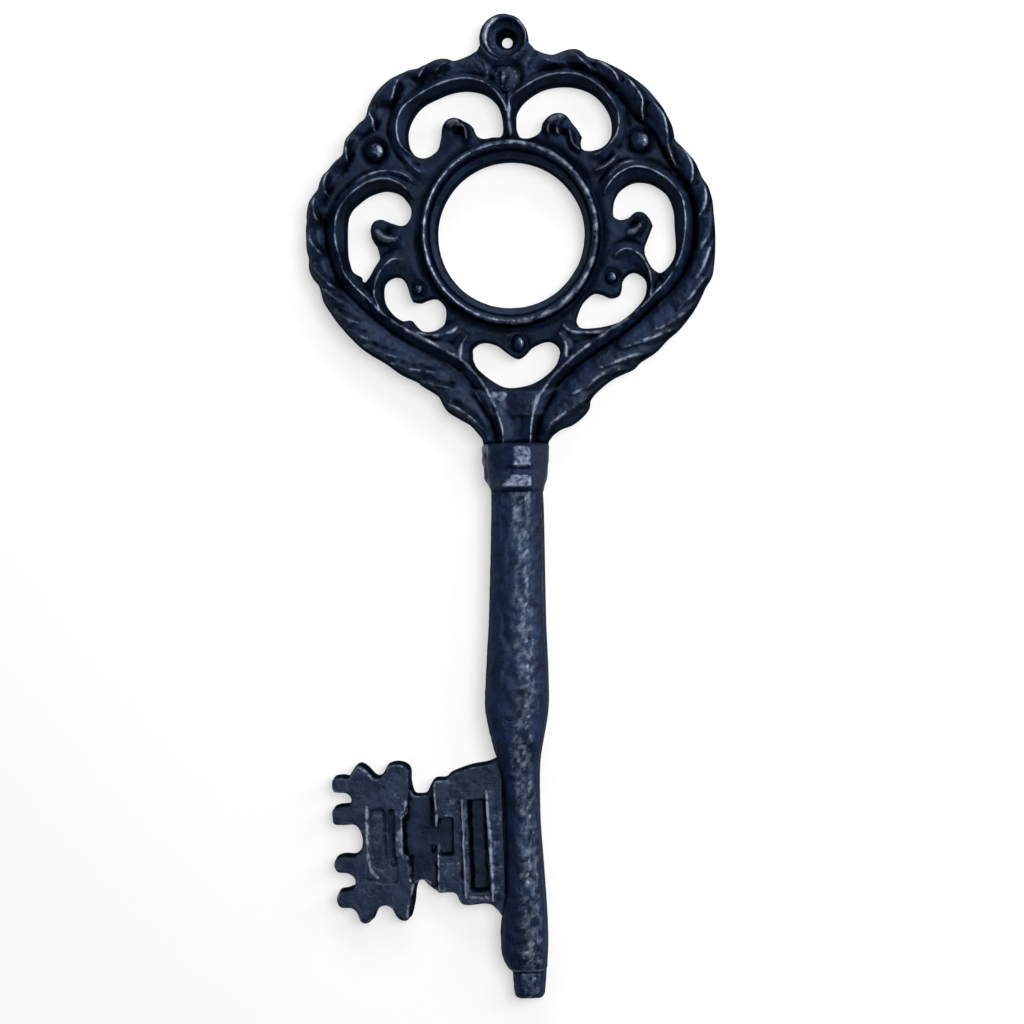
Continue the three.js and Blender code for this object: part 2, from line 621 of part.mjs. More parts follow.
function collarFoot(top) {
  const end = COLLAR_GROOVE + COLLAR_FOOT;
  const shank = swellShares[0];
  const rings = [
    [0, COLLAR_SINK], [COLLAR_GROOVE, COLLAR_SINK],
    [COLLAR_GROOVE + CHAMFER, CHAMFER / 2], [end, CHAMFER / 2],
  ].map(([down, less]) => {
    const half = COLLAR_WIDTH - less;
    return archRing(top - down, half, half, SHANK_WALL, COLLAR_DEPTH - less);
  });
  const foot = archRing(
    top - end - COLLAR_TAPER, shank[1] * SHANK_SIDE, shank[2] * SHANK_SIDE,
    SHANK_WALL, shank[3] * SHANK_DEPTH,
  );
  return loft([...rings, foot]);
}

function shankLength(shares, top, length, wall, depth) {
  return loft(shares.map(([down, left, right, deep]) => {
    return archRing(top - down * length, left * SHANK_SIDE, right * SHANK_SIDE, wall, deep * depth);
  }));
}

// The bit, drawn from its own middle line; its teeth point to -X.

function bitPoint([out, down]) {
  return new THREE.Vector3(-SHANK_SIDE - out * bitSpan, -down * BIT_HALF, 0);
}

function bitLowerEdge() {
  const points = bitRootShares.map(bitPoint);
  const root = -spurRootShare * BIT_HALF;
  for (const place of spurPlaceShares) {
    const x = -SHANK_SIDE - place * bitSpan;
    const half = SPUR_WIDTH / 2;
    const tip = Math.max(root - SPUR_LENGTH, -BIT_HALF);
    points.push(
      new THREE.Vector3(x + half, root, 0), new THREE.Vector3(x + half / 2, tip, 0),
      new THREE.Vector3(x - half / 2, tip, 0), new THREE.Vector3(x - half, root, 0),
    );
  }
  const tips = -BIT_REACH;
  const roots = tips + TOOTH_LENGTH;
  const ease = toothEaseShare * TOOTH_WIDTH;
  for (const place of toothPlaceShares) {
    const y = -place * BIT_HALF;
    const half = TOOTH_WIDTH / 2;
    points.push(
      new THREE.Vector3(roots, y - half, 0), new THREE.Vector3(tips + ease, y - half, 0),
      new THREE.Vector3(tips, y - half + ease, 0), new THREE.Vector3(tips, y + half - ease, 0),
      new THREE.Vector3(tips + ease, y + half, 0), new THREE.Vector3(roots, y + half, 0),
    );
  }
  return [...points, ...toothArcShares.map(bitPoint)];
}

function bitOutline() {
  const lower = bitLowerEdge();
  const upper = lower.slice(0, -1).map((p) => new THREE.Vector3(p.x, -p.y, 0));
  return [...lower, ...upper.reverse()];
}

function field([far, near, high, low], bottom, top) {
  const left = -SHANK_SIDE - far * bitSpan;
  const right = -SHANK_SIDE - near * bitSpan;
  return block(left, right, low * BIT_HALF, high * BIT_HALF, bottom, top);
}

function bitOf() {
  const bit = new THREE.Group();
  bit.position.y = bitY;
  const face = BIT_WEB + BLOCK_RISE;
  const blank = slab(bitOutline(), BIT_WEB, face);
  const outer = common(blank, field(outerBlockShares, 0, tallest));
  const inner = cut(
    common(blank, field(innerBlockShares, 0, tallest)),
    ...[pocketShares, pocketMouthShares, slotShares].map((shares) => field(shares, 0, tallest)),
  );
  bit.add(
    mesh('bit_plate', slab(bitOutline(), 0, BIT_WEB), iron),
    mesh('outer_ward', outer, wornIron),
    mesh('inner_ward', inner, wornIron),
    mesh('ward_panel', field(panelShares, face, face + PANEL_RISE), wornIron),
  );
  return bit;
}

const key = new THREE.Group();
key.add(
  bowOf(),
  mesh('collar_band', collarBand(collarTop, COLLAR_BAND), wornIron),
  mesh('collar_foot', collarFoot(collarTop - COLLAR_BAND), wornIron),
  mesh('shank_swell', shankLength(swellShares, shankTop, shankTop - stemTop, SHANK_WALL, SHANK_DEPTH), iron),
  mesh('shank_stem', shankLength(stemShares, stemTop, stemTop - tipTop, SHANK_WALL, SHANK_DEPTH), iron),
  mesh('tip_pin', shankLength(tipShares, tipTop, TIP_LENGTH, TIP_WALL, TIP_DEPTH), iron),
  bitOf(),
);

export default key;
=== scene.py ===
"""Decorative skeleton key in cast iron, lying on its flat back and seen from the front.

Shapes are worked in millimetres on the bow's own middle, and set in the row frame in metres.
"""

import math

import bmesh
import bpy
import numpy as np
from mathutils import Matrix, Vector, noise
from mathutils.geometry import delaunay_2d_cdt


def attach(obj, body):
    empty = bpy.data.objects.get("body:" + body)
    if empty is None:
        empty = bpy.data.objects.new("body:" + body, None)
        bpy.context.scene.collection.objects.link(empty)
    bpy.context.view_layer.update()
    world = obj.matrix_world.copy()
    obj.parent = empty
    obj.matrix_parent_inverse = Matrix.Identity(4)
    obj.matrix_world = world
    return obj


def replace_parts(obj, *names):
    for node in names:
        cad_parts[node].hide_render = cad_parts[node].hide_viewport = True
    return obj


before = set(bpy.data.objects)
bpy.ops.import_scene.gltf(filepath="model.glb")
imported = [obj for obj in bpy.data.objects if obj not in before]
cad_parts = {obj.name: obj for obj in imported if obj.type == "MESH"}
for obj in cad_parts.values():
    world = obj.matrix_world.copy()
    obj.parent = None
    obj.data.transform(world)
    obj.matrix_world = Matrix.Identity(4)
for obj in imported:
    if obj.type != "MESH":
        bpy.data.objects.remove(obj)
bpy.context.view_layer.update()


# Blackened iron: the whole key is one sand casting, fettled, and brushed with a satin black
# that has a navy tint. The sand leaves a fine pitted grain, and handling has rubbed the
# crests and arrises back to a greyer, smoother metal. That greyer colour also paints highlights
# on crests, beads and facets, and shade is painted dark into creases, walls and low ground.

SAND_GRAIN, SAND_LUMPS, CLOUDS, CHIPS = 2600, 620, 170, 650  # waves to the metre of each pattern
# the dark tint that the painted shade multiplies the colour towards
SHADE_TINT = (0.08, 0.09, 0.12, 1)


def node(tree, kind, place, **settings):
    """A new node; settings that start with in_ are values of its inputs."""
    made = tree.nodes.new(kind)
    made.location = place
    for key, setting in settings.items():
        if key.startswith("in_"):
            made.inputs[key[3:]].default_value = setting
        else:
            setattr(made, key, setting)
    return made


def sum_of(tree, operation, a, b, place, clamp=False):
    """The operation done on a and b, each a number or the output of a node."""
    made = node(tree, "ShaderNodeMath", place, operation=operation, use_clamp=clamp)
    for socket, source in zip(made.inputs, (a, b)):
        if isinstance(source, (int, float)):
            socket.default_value = source
        else:
            tree.links.new(source, socket)
    return made.outputs[0]


def ramp(tree, source, low, high, place):
    """Eases from 0 to 1 while the source goes from low to high."""
    made = node(tree, "ShaderNodeMapRange", place, interpolation_type="SMOOTHSTEP")
    made.inputs["From Min"].default_value = low
    made.inputs["From Max"].default_value = high
    tree.links.new(source, made.inputs["Value"])
    return made.outputs["Result"]


def cast_iron_skin():
    """Colour, roughness, metal and relief of the casting's skin, from its wear with painted highlights and
    its painted shade.
    """
    tree = bpy.data.node_groups.new("cast iron skin", "ShaderNodeTree")
    # the third colour is that of worn metal and of painted highlights
    for name, default in (
        ("Black", (0.0014, 0.0036, 0.013, 1)), ("Tint", (0.0072, 0.0175, 0.052, 1)),
        ("Rubbed", (0.27, 0.32, 0.43, 1)), ("Rubbing", 0.8), ("Satin", 0.42), ("Grain", 1.0),
        ("Breakup", 1.2),
    ):
        kind = "NodeSocketFloat" if isinstance(default, float) else "NodeSocketColor"
        tree.interface.new_socket(name, in_out="INPUT", socket_type=kind).default_value = default
    tree.interface.new_socket("Color", in_out="OUTPUT", socket_type="NodeSocketColor")
    for name in ("Roughness", "Metal", "Height"):
        tree.interface.new_socket(name, in_out="OUTPUT", socket_type="NodeSocketFloat")
    given = node(tree, "NodeGroupInput", (-1200, 0)).outputs
    out = node(tree, "NodeGroupOutput", (900, 0)).inputs
    place = node(tree, "ShaderNodeTexCoord", (-1400, -300)).outputs["Object"]
    crest = node(tree, "ShaderNodeAttribute", (-1200, 400), attribute_name="crest").outputs["Fac"]
    painted_shade = node(tree, "ShaderNodeAttribute", (-1200, 600), attribute_name="painted_shade").outputs["Fac"]

    def sand(scale, detail, rough, y):
        made = node(
            tree, "ShaderNodeTexNoise", (-1000, y), in_Scale=scale, in_Detail=detail, in_Roughness=rough,
        )
        tree.links.new(place, made.inputs["Vector"])
        return made.outputs["Fac"]

    def mixed(factor, a, b, at):
        made = node(tree, "ShaderNodeMix", at, data_type="RGBA")
        tree.links.new(factor, made.inputs["Factor"])
        tree.links.new(a, made.inputs["A"])
        tree.links.new(b, made.inputs["B"])
        return made.outputs["Result"]

    grain = sand(SAND_GRAIN, 3, 0.62, -200)
    lumps = sand(SAND_LUMPS, 2, 0.5, -420)
    cloud = sand(CLOUDS, 5, 0.62, -640)
    chips = sand(CHIPS, 5, 0.75, -860)
    cells = node(tree, "ShaderNodeTexVoronoi", (-1000, -1080), feature="F1", in_Scale=SAND_LUMPS)
    tree.links.new(place, cells.inputs["Vector"])
    pit = ramp(tree, cells.outputs["Distance"], 0.34, 0.1, (-800, -1080))
    few = ramp(tree, lumps, 0.52, 0.66, (-800, -1300))
    pitted = sum_of(tree, "MULTIPLY", pit, few, (-600, -1150))

    # colour: navy clouds in the black, bare metal where a crest is worn together with painted highlights,
    # and painted shade in creases, on walls and on low ground
    uneven = sum_of(tree, "SUBTRACT", chips, 0.5, (-800, 250))
    uneven = sum_of(tree, "MULTIPLY", uneven, given["Breakup"], (-650, 250))
    bare_and_lit = ramp(tree, sum_of(tree, "ADD", crest, uneven, (-500, 350)), 0.3, 0.85, (-350, 350))
    bare_and_lit = sum_of(tree, "MULTIPLY", bare_and_lit, given["Rubbing"], (-150, 350), True)
    wide = sum_of(tree, "MULTIPLY", cloud, 0.6, (-1000, 0))
    narrow = sum_of(tree, "MULTIPLY", chips, 0.4, (-1000, 120))
    tone = ramp(tree, sum_of(tree, "ADD", wide, narrow, (-850, 0)), 0.4, 0.62, (-700, 0))
    body = mixed(tone, given["Black"], given["Tint"], (-300, 100))
    # painted shade: the colour is multiplied towards a dark tint in creases, on walls and on low ground
    shade = node(tree, "ShaderNodeMix", (250, 200), data_type="RGBA", blend_type="MULTIPLY")
    tree.links.new(painted_shade, shade.inputs["Factor"])
    tree.links.new(mixed(bare_and_lit, body, given["Rubbed"], (0, 200)), shade.inputs["A"])
    shade.inputs["B"].default_value = SHADE_TINT
    tree.links.new(shade.outputs["Result"], out["Color"])

    # gloss: worn metal and painted highlights are a little smoother than the paint, and painted shade is
    # dull
    patch = sum_of(tree, "MULTIPLY", sum_of(tree, "SUBTRACT", cloud, 0.5, (-500, -640)), 0.3, (-350, -640))
    speck = sum_of(tree, "MULTIPLY", sum_of(tree, "SUBTRACT", chips, 0.5, (-500, -860)), 0.3, (-350, -860))
    rough = sum_of(tree, "ADD", given["Satin"], patch, (-150, -500))
    rough = sum_of(tree, "ADD", rough, speck, (0, -500))
    rough = sum_of(tree, "SUBTRACT", rough, sum_of(tree, "MULTIPLY", bare_and_lit, 0.1, (0, -650)), (150, -500))
    dull = sum_of(tree, "MULTIPLY", painted_shade, 0.5, (150, -650))
    tree.links.new(sum_of(tree, "ADD", rough, dull, (300, -500), True), out["Roughness"])
    # painted shade also makes the surface metallic, so that its dark colour dims the reflections there too
    metal = sum_of(tree, "MAXIMUM", sum_of(tree, "MULTIPLY", bare_and_lit, 0.7, (300, -300)), painted_shade, (450, -300))
    tree.links.new(metal, out["Metal"])

    # relief: the grain of the sand, its lumps, and a few pits
    height = sum_of(tree, "ADD", grain, sum_of(tree, "MULTIPLY", lumps, 0.5, (-300, -200)), (-100, -200))
    pitted = sum_of(tree, "MULTIPLY", pitted, 0.9, (-300, -1150))
    height = sum_of(tree, "SUBTRACT", height, pitted, (100, -200))
    tree.links.new(sum_of(tree, "MULTIPLY", height, given["Grain"], (300, -100)), out["Height"])
    return tree


skin = cast_iron_skin()


def iron(name, **given):
    """A finish of the casting; given values set the skin's own inputs."""
    material = bpy.data.materials.new(name)
    material.use_nodes = True
    tree = material.node_tree
    shader = tree.nodes["Principled BSDF"]
    surface = node(tree, "ShaderNodeGroup", (-500, 200), node_tree=skin)
    for key, setting in given.items():
        surface.inputs[key].default_value = setting
    bump = node(tree, "ShaderNodeBump", (-250, -200), in_Strength=0.9, in_Distance=0.00016)
    for source, to in (("Color", "Base Color"), ("Roughness", "Roughness"), ("Metal", "Metallic")):
        tree.links.new(surface.outputs[source], shader.inputs[to])
    tree.links.new(surface.outputs["Height"], bump.inputs["Height"])
    tree.links.new(bump.outputs["Normal"], shader.inputs["Normal"])
    shader.inputs["Specular IOR Level"].default_value = 0.38
    shader.inputs["Specular Tint"].default_value = (0.52, 0.7, 1, 1)
    return material


# Openwork of the bow: one plate with a window and seven openings, cast with its mouldings, the
# post between the upper openings, the scroll curls on the knobs and the neck. The pattern was
# carved by hand, so its two halves differ, and each line here is drawn on its own.

BOW_CENTRE = 69.26  # from the middle of the key to the middle of the bow
GRID = 0.36  # spacing of the carved surface, in millimetres
RIM_ROWS, CREST_ROWS = (0.16, 0.42), (0.28, 0.56)  # distances of the rows of places beside its lines
BACK_ARRIS, WALL_FOOT = 0.3, 1.5  # heights above the flat back
DRAFT = 0.12  # how far a wall leans out on its way down


def drawn(points, gap=0.5, closed=False):
    """A smooth line through the points as places about `gap` apart; further columns come along."""
    p = np.array(points, float)
    q = np.vstack([p[-1:], p, p[:2]]) if closed else np.vstack([2 * p[0] - p[1], p, 2 * p[-1] - p[-2]])
    line = []
    for a, b, c, d in zip(q, q[1:], q[2:], q[3:]):
        steps = max(1, int(np.ceil(np.hypot(*(c - b)[:2]) / gap)))
        t = np.linspace(0, 1, steps, endpoint=False)[:, None]
        curve = 2 * b + (c - a) * t + (2 * a - 5 * b + 4 * c - d) * t**2 + (3 * b - a - 3 * c + d) * t**3
        line.append(0.5 * curve)
    return np.vstack(line if closed else [*line, p[-1:]])


FOOT = np.array((31.0, -68.76))  # the place under the camera
CAMERA_UP, DRAWN_UP = 500, 5  # heights of the camera and of the plane that lines are drawn in
OPENING_TOP = 4.4  # height of the face beside an opening


def at_height(line, z):
    """Sets lines, which are drawn as the camera sees them, back to their own height."""
    line = np.array(line, float)
    scale = ((CAMERA_UP - np.asarray(z)) / (CAMERA_UP - DRAWN_UP)).reshape(-1, 1)
    line[:, :2] = FOOT + (line[:, :2] - FOOT) * scale
    return line


def opened(points):
    """An opening: its near sides show at the face of the casting, and its far sides at the back."""
    line = drawn(points, closed=True)
    along = np.roll(line, -1, 0) - np.roll(line, 1, 0)
    area = (line[:, 0] * np.roll(line[:, 1], -1) - line[:, 1] * np.roll(line[:, 0], -1)).sum()
    out = np.column_stack([along[:, 1], -along[:, 0]]) * np.sign(area)
    out /= np.hypot(*out.T)[:, None]
    away = line - FOOT
    far = ease(0.5 + 1.5 * (out * away).sum(1) / np.hypot(*away.T))
    return at_height(line, OPENING_TOP * (1 - far)) + out * 0.15 * far[:, None]


def closed(line):
    return np.vstack([line, line[:1]])


def beside(places, line, reach=6.0):
    """For each place: its distance from the line, its hand (+1 is right) and the line's columns there."""
    gap, hand = np.full(len(places), float(reach)), np.ones(len(places))
    at = np.tile(line[0].astype(float), (len(places), 1))
    low, high = line[:, :2].min(0) - reach, line[:, :2].max(0) + reach
    near = np.flatnonzero(((places[:, :2] > low) & (places[:, :2] < high)).all(1))
    a, d = line[:-1], np.diff(line, axis=0)
    span = (d[:, :2] ** 2).sum(1)
    for part in np.array_split(near, len(near) * len(a) // 1_500_000 + 1):
        w = places[part, None, :2] - a[None, :, :2]
        t = np.clip((w * d[:, :2]).sum(2) / span, 0, 1)
        far = ((w - t[..., None] * d[:, :2]) ** 2).sum(2)
        i, k = np.arange(len(part)), far.argmin(1)
        gap[part] = np.minimum(np.sqrt(far[i, k]), reach)
        hand[part] = np.where(d[k, 0] * w[i, k, 1] > d[k, 1] * w[i, k, 0], -1, 1)
        at[part] = a[k] + t[i, k, None] * d[k]
    return gap, hand, at


def inside_segments(places, segments):
    """Which places the segments close round, by counting those to one side."""
    order = np.argsort(places[:, 1])
    y = places[order, 1]
    odd = np.zeros(len(places), bool)
    for a, b in segments:
        i, j = np.searchsorted(y, sorted((a[1], b[1])))
        k = order[i:j]
        if len(k):
            odd[k] ^= places[k, 0] < a[0] + (places[k, 1] - a[1]) * (b[0] - a[0]) / (b[1] - a[1])
    return odd


def inside(places, loops):
    """Which places lie inside the first loop and outside the others."""
    return inside_segments(
        places, np.concatenate([np.stack([l[:, :2], np.roll(l[:, :2], -1, 0)], 1) for l in loops]),
    )


def ease(t):
    """A soft step from 0 to 1 while t goes from 0 to 1."""
    t = np.clip(t, 0, 1)
    return t * t * (3 - 2 * t)


def rounded(edge, radius):
    """How far an arris of that radius falls, by the distance from the edge."""
    e = np.clip(edge / radius, 0, 1)
    return radius * (1 - np.sqrt(1 - (1 - e) ** 2))


def lumpy(places, size, seed=0.0):
    """Uneven waves about as long as the size, between -1 and 1."""
    return np.array([noise.noise(Vector((x / size, y / size, seed))) for x, y in places[:, :2]])


def carved(loops, lines, relief, grid=GRID):
    """A closed solid on a flat back. Its face fills the first loop but not the others, has edges along
    the lines, and takes its height and its wear with painted highlights from relief(places). Walls fall
    from it to the back."""
    fixed, ties, rows = [], [], []
    drawn_lines = [(l[:, :2], True) for l in loops] + [(l[:, :2], False) for l in lines]
    for line, ring in drawn_lines:
        first = len(fixed)
        fixed += [tuple(p) for p in line]
        ties += [(first + i, first + i + 1) for i in range(len(line) - 1)]
        if ring:
            ties.append((len(fixed) - 1, first))
        along = np.gradient(line, axis=0)
        across = np.column_stack([along[:, 1], -along[:, 0]])
        across /= np.maximum(np.hypot(*along.T), 1e-6)[:, None]
        for off in RIM_ROWS if ring else CREST_ROWS:
            rows += [line + across * off, line - across * off]
    low, high = loops[0][:, :2].min(0), loops[0][:, :2].max(0)
    xs, ys = np.arange(low[0], high[0], grid), np.arange(low[1], high[1], grid * 0.866)
    mesh_x, mesh_y = np.meshgrid(xs, ys)
    mesh_x = mesh_x + (np.arange(len(ys)) % 2)[:, None] * grid / 2
    field = np.column_stack([mesh_x.ravel(), mesh_y.ravel()])
    rows = np.vstack(rows)
    field, rows = field[inside(field, loops)], rows[inside(rows, loops)]
    clear, tight = np.ones(len(field), bool), np.ones(len(rows), bool)
    for line, ring in drawn_lines:
        path = closed(line) if ring else line
        clear &= beside(field, path, 0.9)[0] > (0.55 if ring else 0.72)
        tight &= beside(rows, path, 0.5)[0] > 0.14
    points = [Vector(p) for part in (fixed, rows[tight], field[clear]) for p in part]
    flat, _, faces, *_ = delaunay_2d_cdt(points, ties, [], 1, 0.03)
    flat, faces = np.array([tuple(p) for p in flat]), np.array(faces)
    faces = faces[inside(flat[faces].mean(1), loops)]
    used, faces = np.unique(faces, return_inverse=True)
    flat, faces = flat[used], faces.reshape(-1, 3)
    height, wear_and_highlight_amount = relief(flat)
    shape = bpy.data.meshes.new("carved face")
    shape.from_pydata(np.column_stack([flat, height]).tolist(), [], faces.tolist())
    bm = bmesh.new()
    bm.from_mesh(shape)
    bpy.data.meshes.remove(shape)
    crest, home = bm.verts.layers.float.new("crest"), bm.verts.layers.float_vector.new("home")
    for v, amount in zip(bm.verts, wear_and_highlight_amount):
        v[crest], v[home] = amount, v.co
    rim = [e for e in bm.edges if len(e.link_faces) == 1]
    for height, push in ((WALL_FOOT, DRAFT), (BACK_ARRIS, DRAFT), (0, -BACK_ARRIS)):
        made = bmesh.ops.extrude_edge_only(bm, edges=rim)["geom"]
        rim = [e for e in made if isinstance(e, bmesh.types.BMEdge)]
        feet = [v for v in made if isinstance(v, bmesh.types.BMVert)]
        for v in feet:
            v.co.z = height
        bm.normal_update()
        outward = {v: Vector((v.normal.x, v.normal.y, 0)).normalized() for v in feet}
        for v in feet:
            v.co += outward[v] * push
    spot = {v: i for i, v in enumerate(feet)}
    ties = [(spot[e.verts[0]], spot[e.verts[1]]) for e in rim]
    flat = np.array([v[home][:2] for v in feet])
    faces = np.array(delaunay_2d_cdt([Vector(p) for p in flat], ties, [], 1, 0.0001)[2])
    for face in faces[inside_segments(flat[faces].mean(1), flat[np.array(ties)])]:
        bm.faces.new([feet[i] for i in face])
    bm.verts.layers.float_vector.remove(home)
    return bm


def cast(bm, roughness, size=3.0, centre=BOW_CENTRE):
    """Sets a carved or turned shape in the row frame, and gives it the slow lumps of a sand casting."""
    bmesh.ops.recalc_face_normals(bm, faces=bm.faces)
    bm.normal_update()
    for v in bm.verts:
        if v.co.z > 0.5:
            spot = Vector((v.co.x, v.co.y + centre, v.co.z)) / size
            v.co += v.normal * roughness * (noise.noise(spot) + 0.5 * noise.noise(spot * 2.7))
            v.co.z = max(v.co.z, 0.5)
    bmesh.ops.translate(bm, verts=bm.verts, vec=(0, centre, 0))
    bmesh.ops.scale(bm, verts=bm.verts, vec=(0.001, 0.001, 0.001))
    return bm


def finished(name, bm, material, slot, *nodes, sharp=50, low=0.0, shade=1.0, crease=0.1):
    """The piece in place of its CAD nodes. Its creases, its walls and what lies under `low` get painted
    shade.
    """
    shape = bpy.data.meshes.new(name)
    bm.to_mesh(shape)
    bm.free()
    shape.shade_smooth()
    shape.set_sharp_from_angle(angle=math.radians(sharp))
    count = len(shape.vertices)
    co, normal = np.empty(count * 3), np.empty(count * 3)
    shape.vertices.foreach_get("co", co)
    shape.vertices.foreach_get("normal", normal)
    co, normal = co.reshape(-1, 3) * 1000, normal.reshape(-1, 3)
    pairs = np.empty(len(shape.edges) * 2, np.int64)
    shape.edges.foreach_get("vertices", pairs)
    a, b = pairs.reshape(-1, 2).T

    # how far the surface bends inwards at each vertex, softened over its neighbours
    step = co[b] - co[a]
    length = np.maximum(np.linalg.norm(step, axis=1), 0.05)
    bend, ties = np.zeros(count), np.zeros(count)
    for here, way in ((a, -1), (b, 1)):
        np.add.at(bend, here, way * (step * normal[here]).sum(1) / length)
        np.add.at(ties, here, 1)
    bend /= np.maximum(ties, 1)
    for _ in range(3):
        total, share = bend * 2, np.full(count, 2.0)
        for here, there in ((a, b), (b, a)):
            np.add.at(total, here, bend[there])
            np.add.at(share, here, 1)
        bend = total / share

    # painted shade on walls that stand steeply, but not the back, and a little on all that lies low
    wall = shade * ease((0.76 - normal[:, 2]) / 0.45) * ease((normal[:, 2] + 0.6) / 0.3)
    wall = np.maximum(wall, 0.3 * ease((low - co[:, 2]) / 1.2))
    # painted shade: darker in the creases, on the walls and on low ground
    painted_shade = shape.attributes.new("painted_shade", "FLOAT", "POINT")
    painted_shade.data.foreach_set("value", np.maximum(ease(-bend / crease), wall).astype(np.float32))
    shape.materials.append(material)
    piece = bpy.data.objects.new(name, shape)
    bpy.context.scene.collection.objects.link(piece)
    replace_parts(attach(piece, "root"), *nodes)


openings = [opened(points) for points in (
    [  # upper left
        (-1.5, 24.6), (-1.2, 28), (-2, 31.5), (-5, 34.5), (-9, 35.7), (-13, 35.5), (-17, 34.2), (-21, 32.2),
        (-23.5, 29.5), (-25, 26), (-25, 22.5), (-24, 20.3), (-22, 19.3), (-20, 19.6), (-17.8, 21.3),
        (-17, 24), (-16.3, 27.5), (-14, 29.1), (-11, 28.3), (-9, 27), (-8.2, 25), (-6.5, 23.9), (-4, 24.2),
    ],
    [  # upper right
        (2.4, 25), (2.2, 27), (2.6, 30), (5, 33), (9, 35.4), (13, 36.2), (17, 36), (21, 34.6), (24, 32),
        (26, 28.5), (26.5, 25.5), (25.8, 22.8), (23.8, 20.8), (21, 20), (19, 20.3), (18.3, 21.5),
        (18.6, 23.5), (18, 25), (16.5, 27), (15, 29), (13, 29.6), (11, 29.2), (9, 27.5), (8.4, 25.5),
        (7.5, 24.5), (5.5, 23.8), (3.5, 23.9),
    ],
    [  # side left
        (-41.2, -4), (-41, 3), (-40, 6), (-38, 8), (-35, 10), (-31, 11), (-27.5, 10), (-25.3, 7.5),
        (-25, 5), (-26, 3), (-27.5, 2.3), (-30, 3), (-32.5, 4), (-34.5, 3.5), (-35.4, 1.5), (-35, -1),
        (-34, -2.5), (-33.5, -4), (-33.3, -6), (-34.5, -8), (-36, -10.5), (-37.5, -11.8), (-38, -10.5),
        (-40, -9.3), (-40.8, -7),
    ],
    [  # side right
        (26, 4), (26.5, 7), (28, 9.5), (31, 11.3), (34, 11.5), (37, 10.5), (40, 8), (41.5, 4), (41.7, 0),
        (41.8, -6), (40.5, -9), (38.5, -11), (37, -11.2), (35.5, -10), (34, -7), (33.8, -5), (35, -2),
        (35.9, 1), (34.5, 3.5), (33, 4.3), (31.5, 4), (30, 2.8), (28, 2.3), (26.5, 3),
    ],
    [  # lower left lobe
        (-32.3, -14), (-31.5, -12), (-29.5, -10.9), (-27.5, -11.2), (-26.5, -13), (-25.8, -15.5),
        (-25, -17), (-23, -17.5), (-21, -16.8), (-19, -16.6), (-17.3, -18), (-16.8, -20.5), (-17.5, -23),
        (-20, -24.7), (-23, -24.6), (-25, -22.5), (-26, -21.7), (-28, -21.8), (-30, -20.5), (-32, -17.5),
    ],
    [  # lower right lobe
        (28, -13.5), (29.5, -11.7), (31.5, -11.3), (33.8, -13), (34.2, -15.5), (33.2, -18), (30.5, -21),
        (27, -23.5), (23, -24.7), (18, -25), (16.2, -23.8), (16.5, -21.5), (18, -18.5), (20.5, -16.4),
        (22.5, -16.5), (25, -17.5), (27, -17), (27.7, -15.5),
    ],
    [  # heart
        (-10.3, -31), (-10.2, -29.5), (-8.5, -28.2), (-6.5, -28), (-4, -28.8), (-2, -30.3), (0, -31.8),
        (1.5, -32.2), (3, -31.3), (5, -29.4), (8, -28.2), (10, -28.4), (11.7, -30), (11.5, -32),
        (10.3, -34.5), (7.5, -37), (4, -38.8), (0, -39.5), (-3, -39.2), (-6, -37.5), (-9, -34.8),
        (-10.2, -32.5),
    ],
)]

# Cords: hand of the opening, crest height, whether the start and the end die away, and the path
cords = [
    (-1, 7.0, False, True, [
        (-0.3, 31), (-1, 33), (-3, 36), (-6, 38.3), (-10, 39.3), (-14, 39), (-18, 37.7), (-22, 35.7),
        (-26, 32.8), (-27.7, 30), (-28.2, 27), (-27.6, 23.5), (-25.5, 21), (-22.5, 18.8),
    ]),
    (1, 7.0, False, True, [
        (0.6, 31), (0.8, 34), (4, 36.5), (8, 38.7), (12, 39.8), (17, 39.8), (21, 38.3), (24.5, 35.5),
        (27, 32), (28.2, 28.5), (27.8, 25), (26, 22), (23.5, 19.8), (20, 18.8),
    ]),
    (-1, 7.2, True, False, [
        (-24.5, 9.5), (-27, 12.5), (-30.5, 14.2), (-34, 14.2), (-38, 12.5), (-41.5, 9.5), (-43.7, 6),
        (-44.5, 2), (-44.3, -2), (-43.5, -5), (-42.5, -9), (-40, -12.5), (-37, -15.5), (-34.5, -18.3),
        (-31, -21.3), (-27, -24), (-23, -26.3), (-18, -29.2), (-13.5, -32), (-10, -35.5), (-7, -40),
        (-5, -44.5), (-3.4, -50), (-3.3, -54),
    ]),
    (1, 7.2, True, False, [
        (24, 8), (24.5, 10.5), (27, 13.5), (30, 15.3), (33, 15.8), (37, 14.5), (41, 11.5), (43.5, 8),
        (44.3, 4), (44.3, 0), (43.5, -5), (42, -9), (39.5, -13), (36.5, -16), (34, -18.5), (30, -22),
        (25, -25), (20, -28.5), (15, -32), (10, -36.5), (7, -40.5), (5, -44), (4, -49), (3.6, -54),
    ]),
    (-1, 7.0, True, False, [
        (-27, -6.3), (-30, -6), (-33, -8.5), (-34.7, -12), (-35, -15), (-33.8, -18.5),
    ]),
    (1, 7.0, True, False, [
        (25, -8), (27.5, -5.5), (30, -5), (33, -7), (34.8, -10.5), (35.3, -14), (35, -17),
    ]),
    (1, 6.9, False, True, [(-24, -24.9), (-20, -25.7), (-16, -25), (-14, -23.5), (-12.5, -23)]),
    (-1, 6.9, False, True, [(25, -25.2), (20, -26), (15, -25.6), (13, -24), (12, -22)]),
    (1, 6.9, True, False, [(-10.5, -25), (-12.5, -27), (-13.5, -29.5), (-13.5, -32)]),
    (-1, 6.9, True, False, [(11, -25), (12.5, -27), (13.3, -29), (13.2, -31.5)]),
]
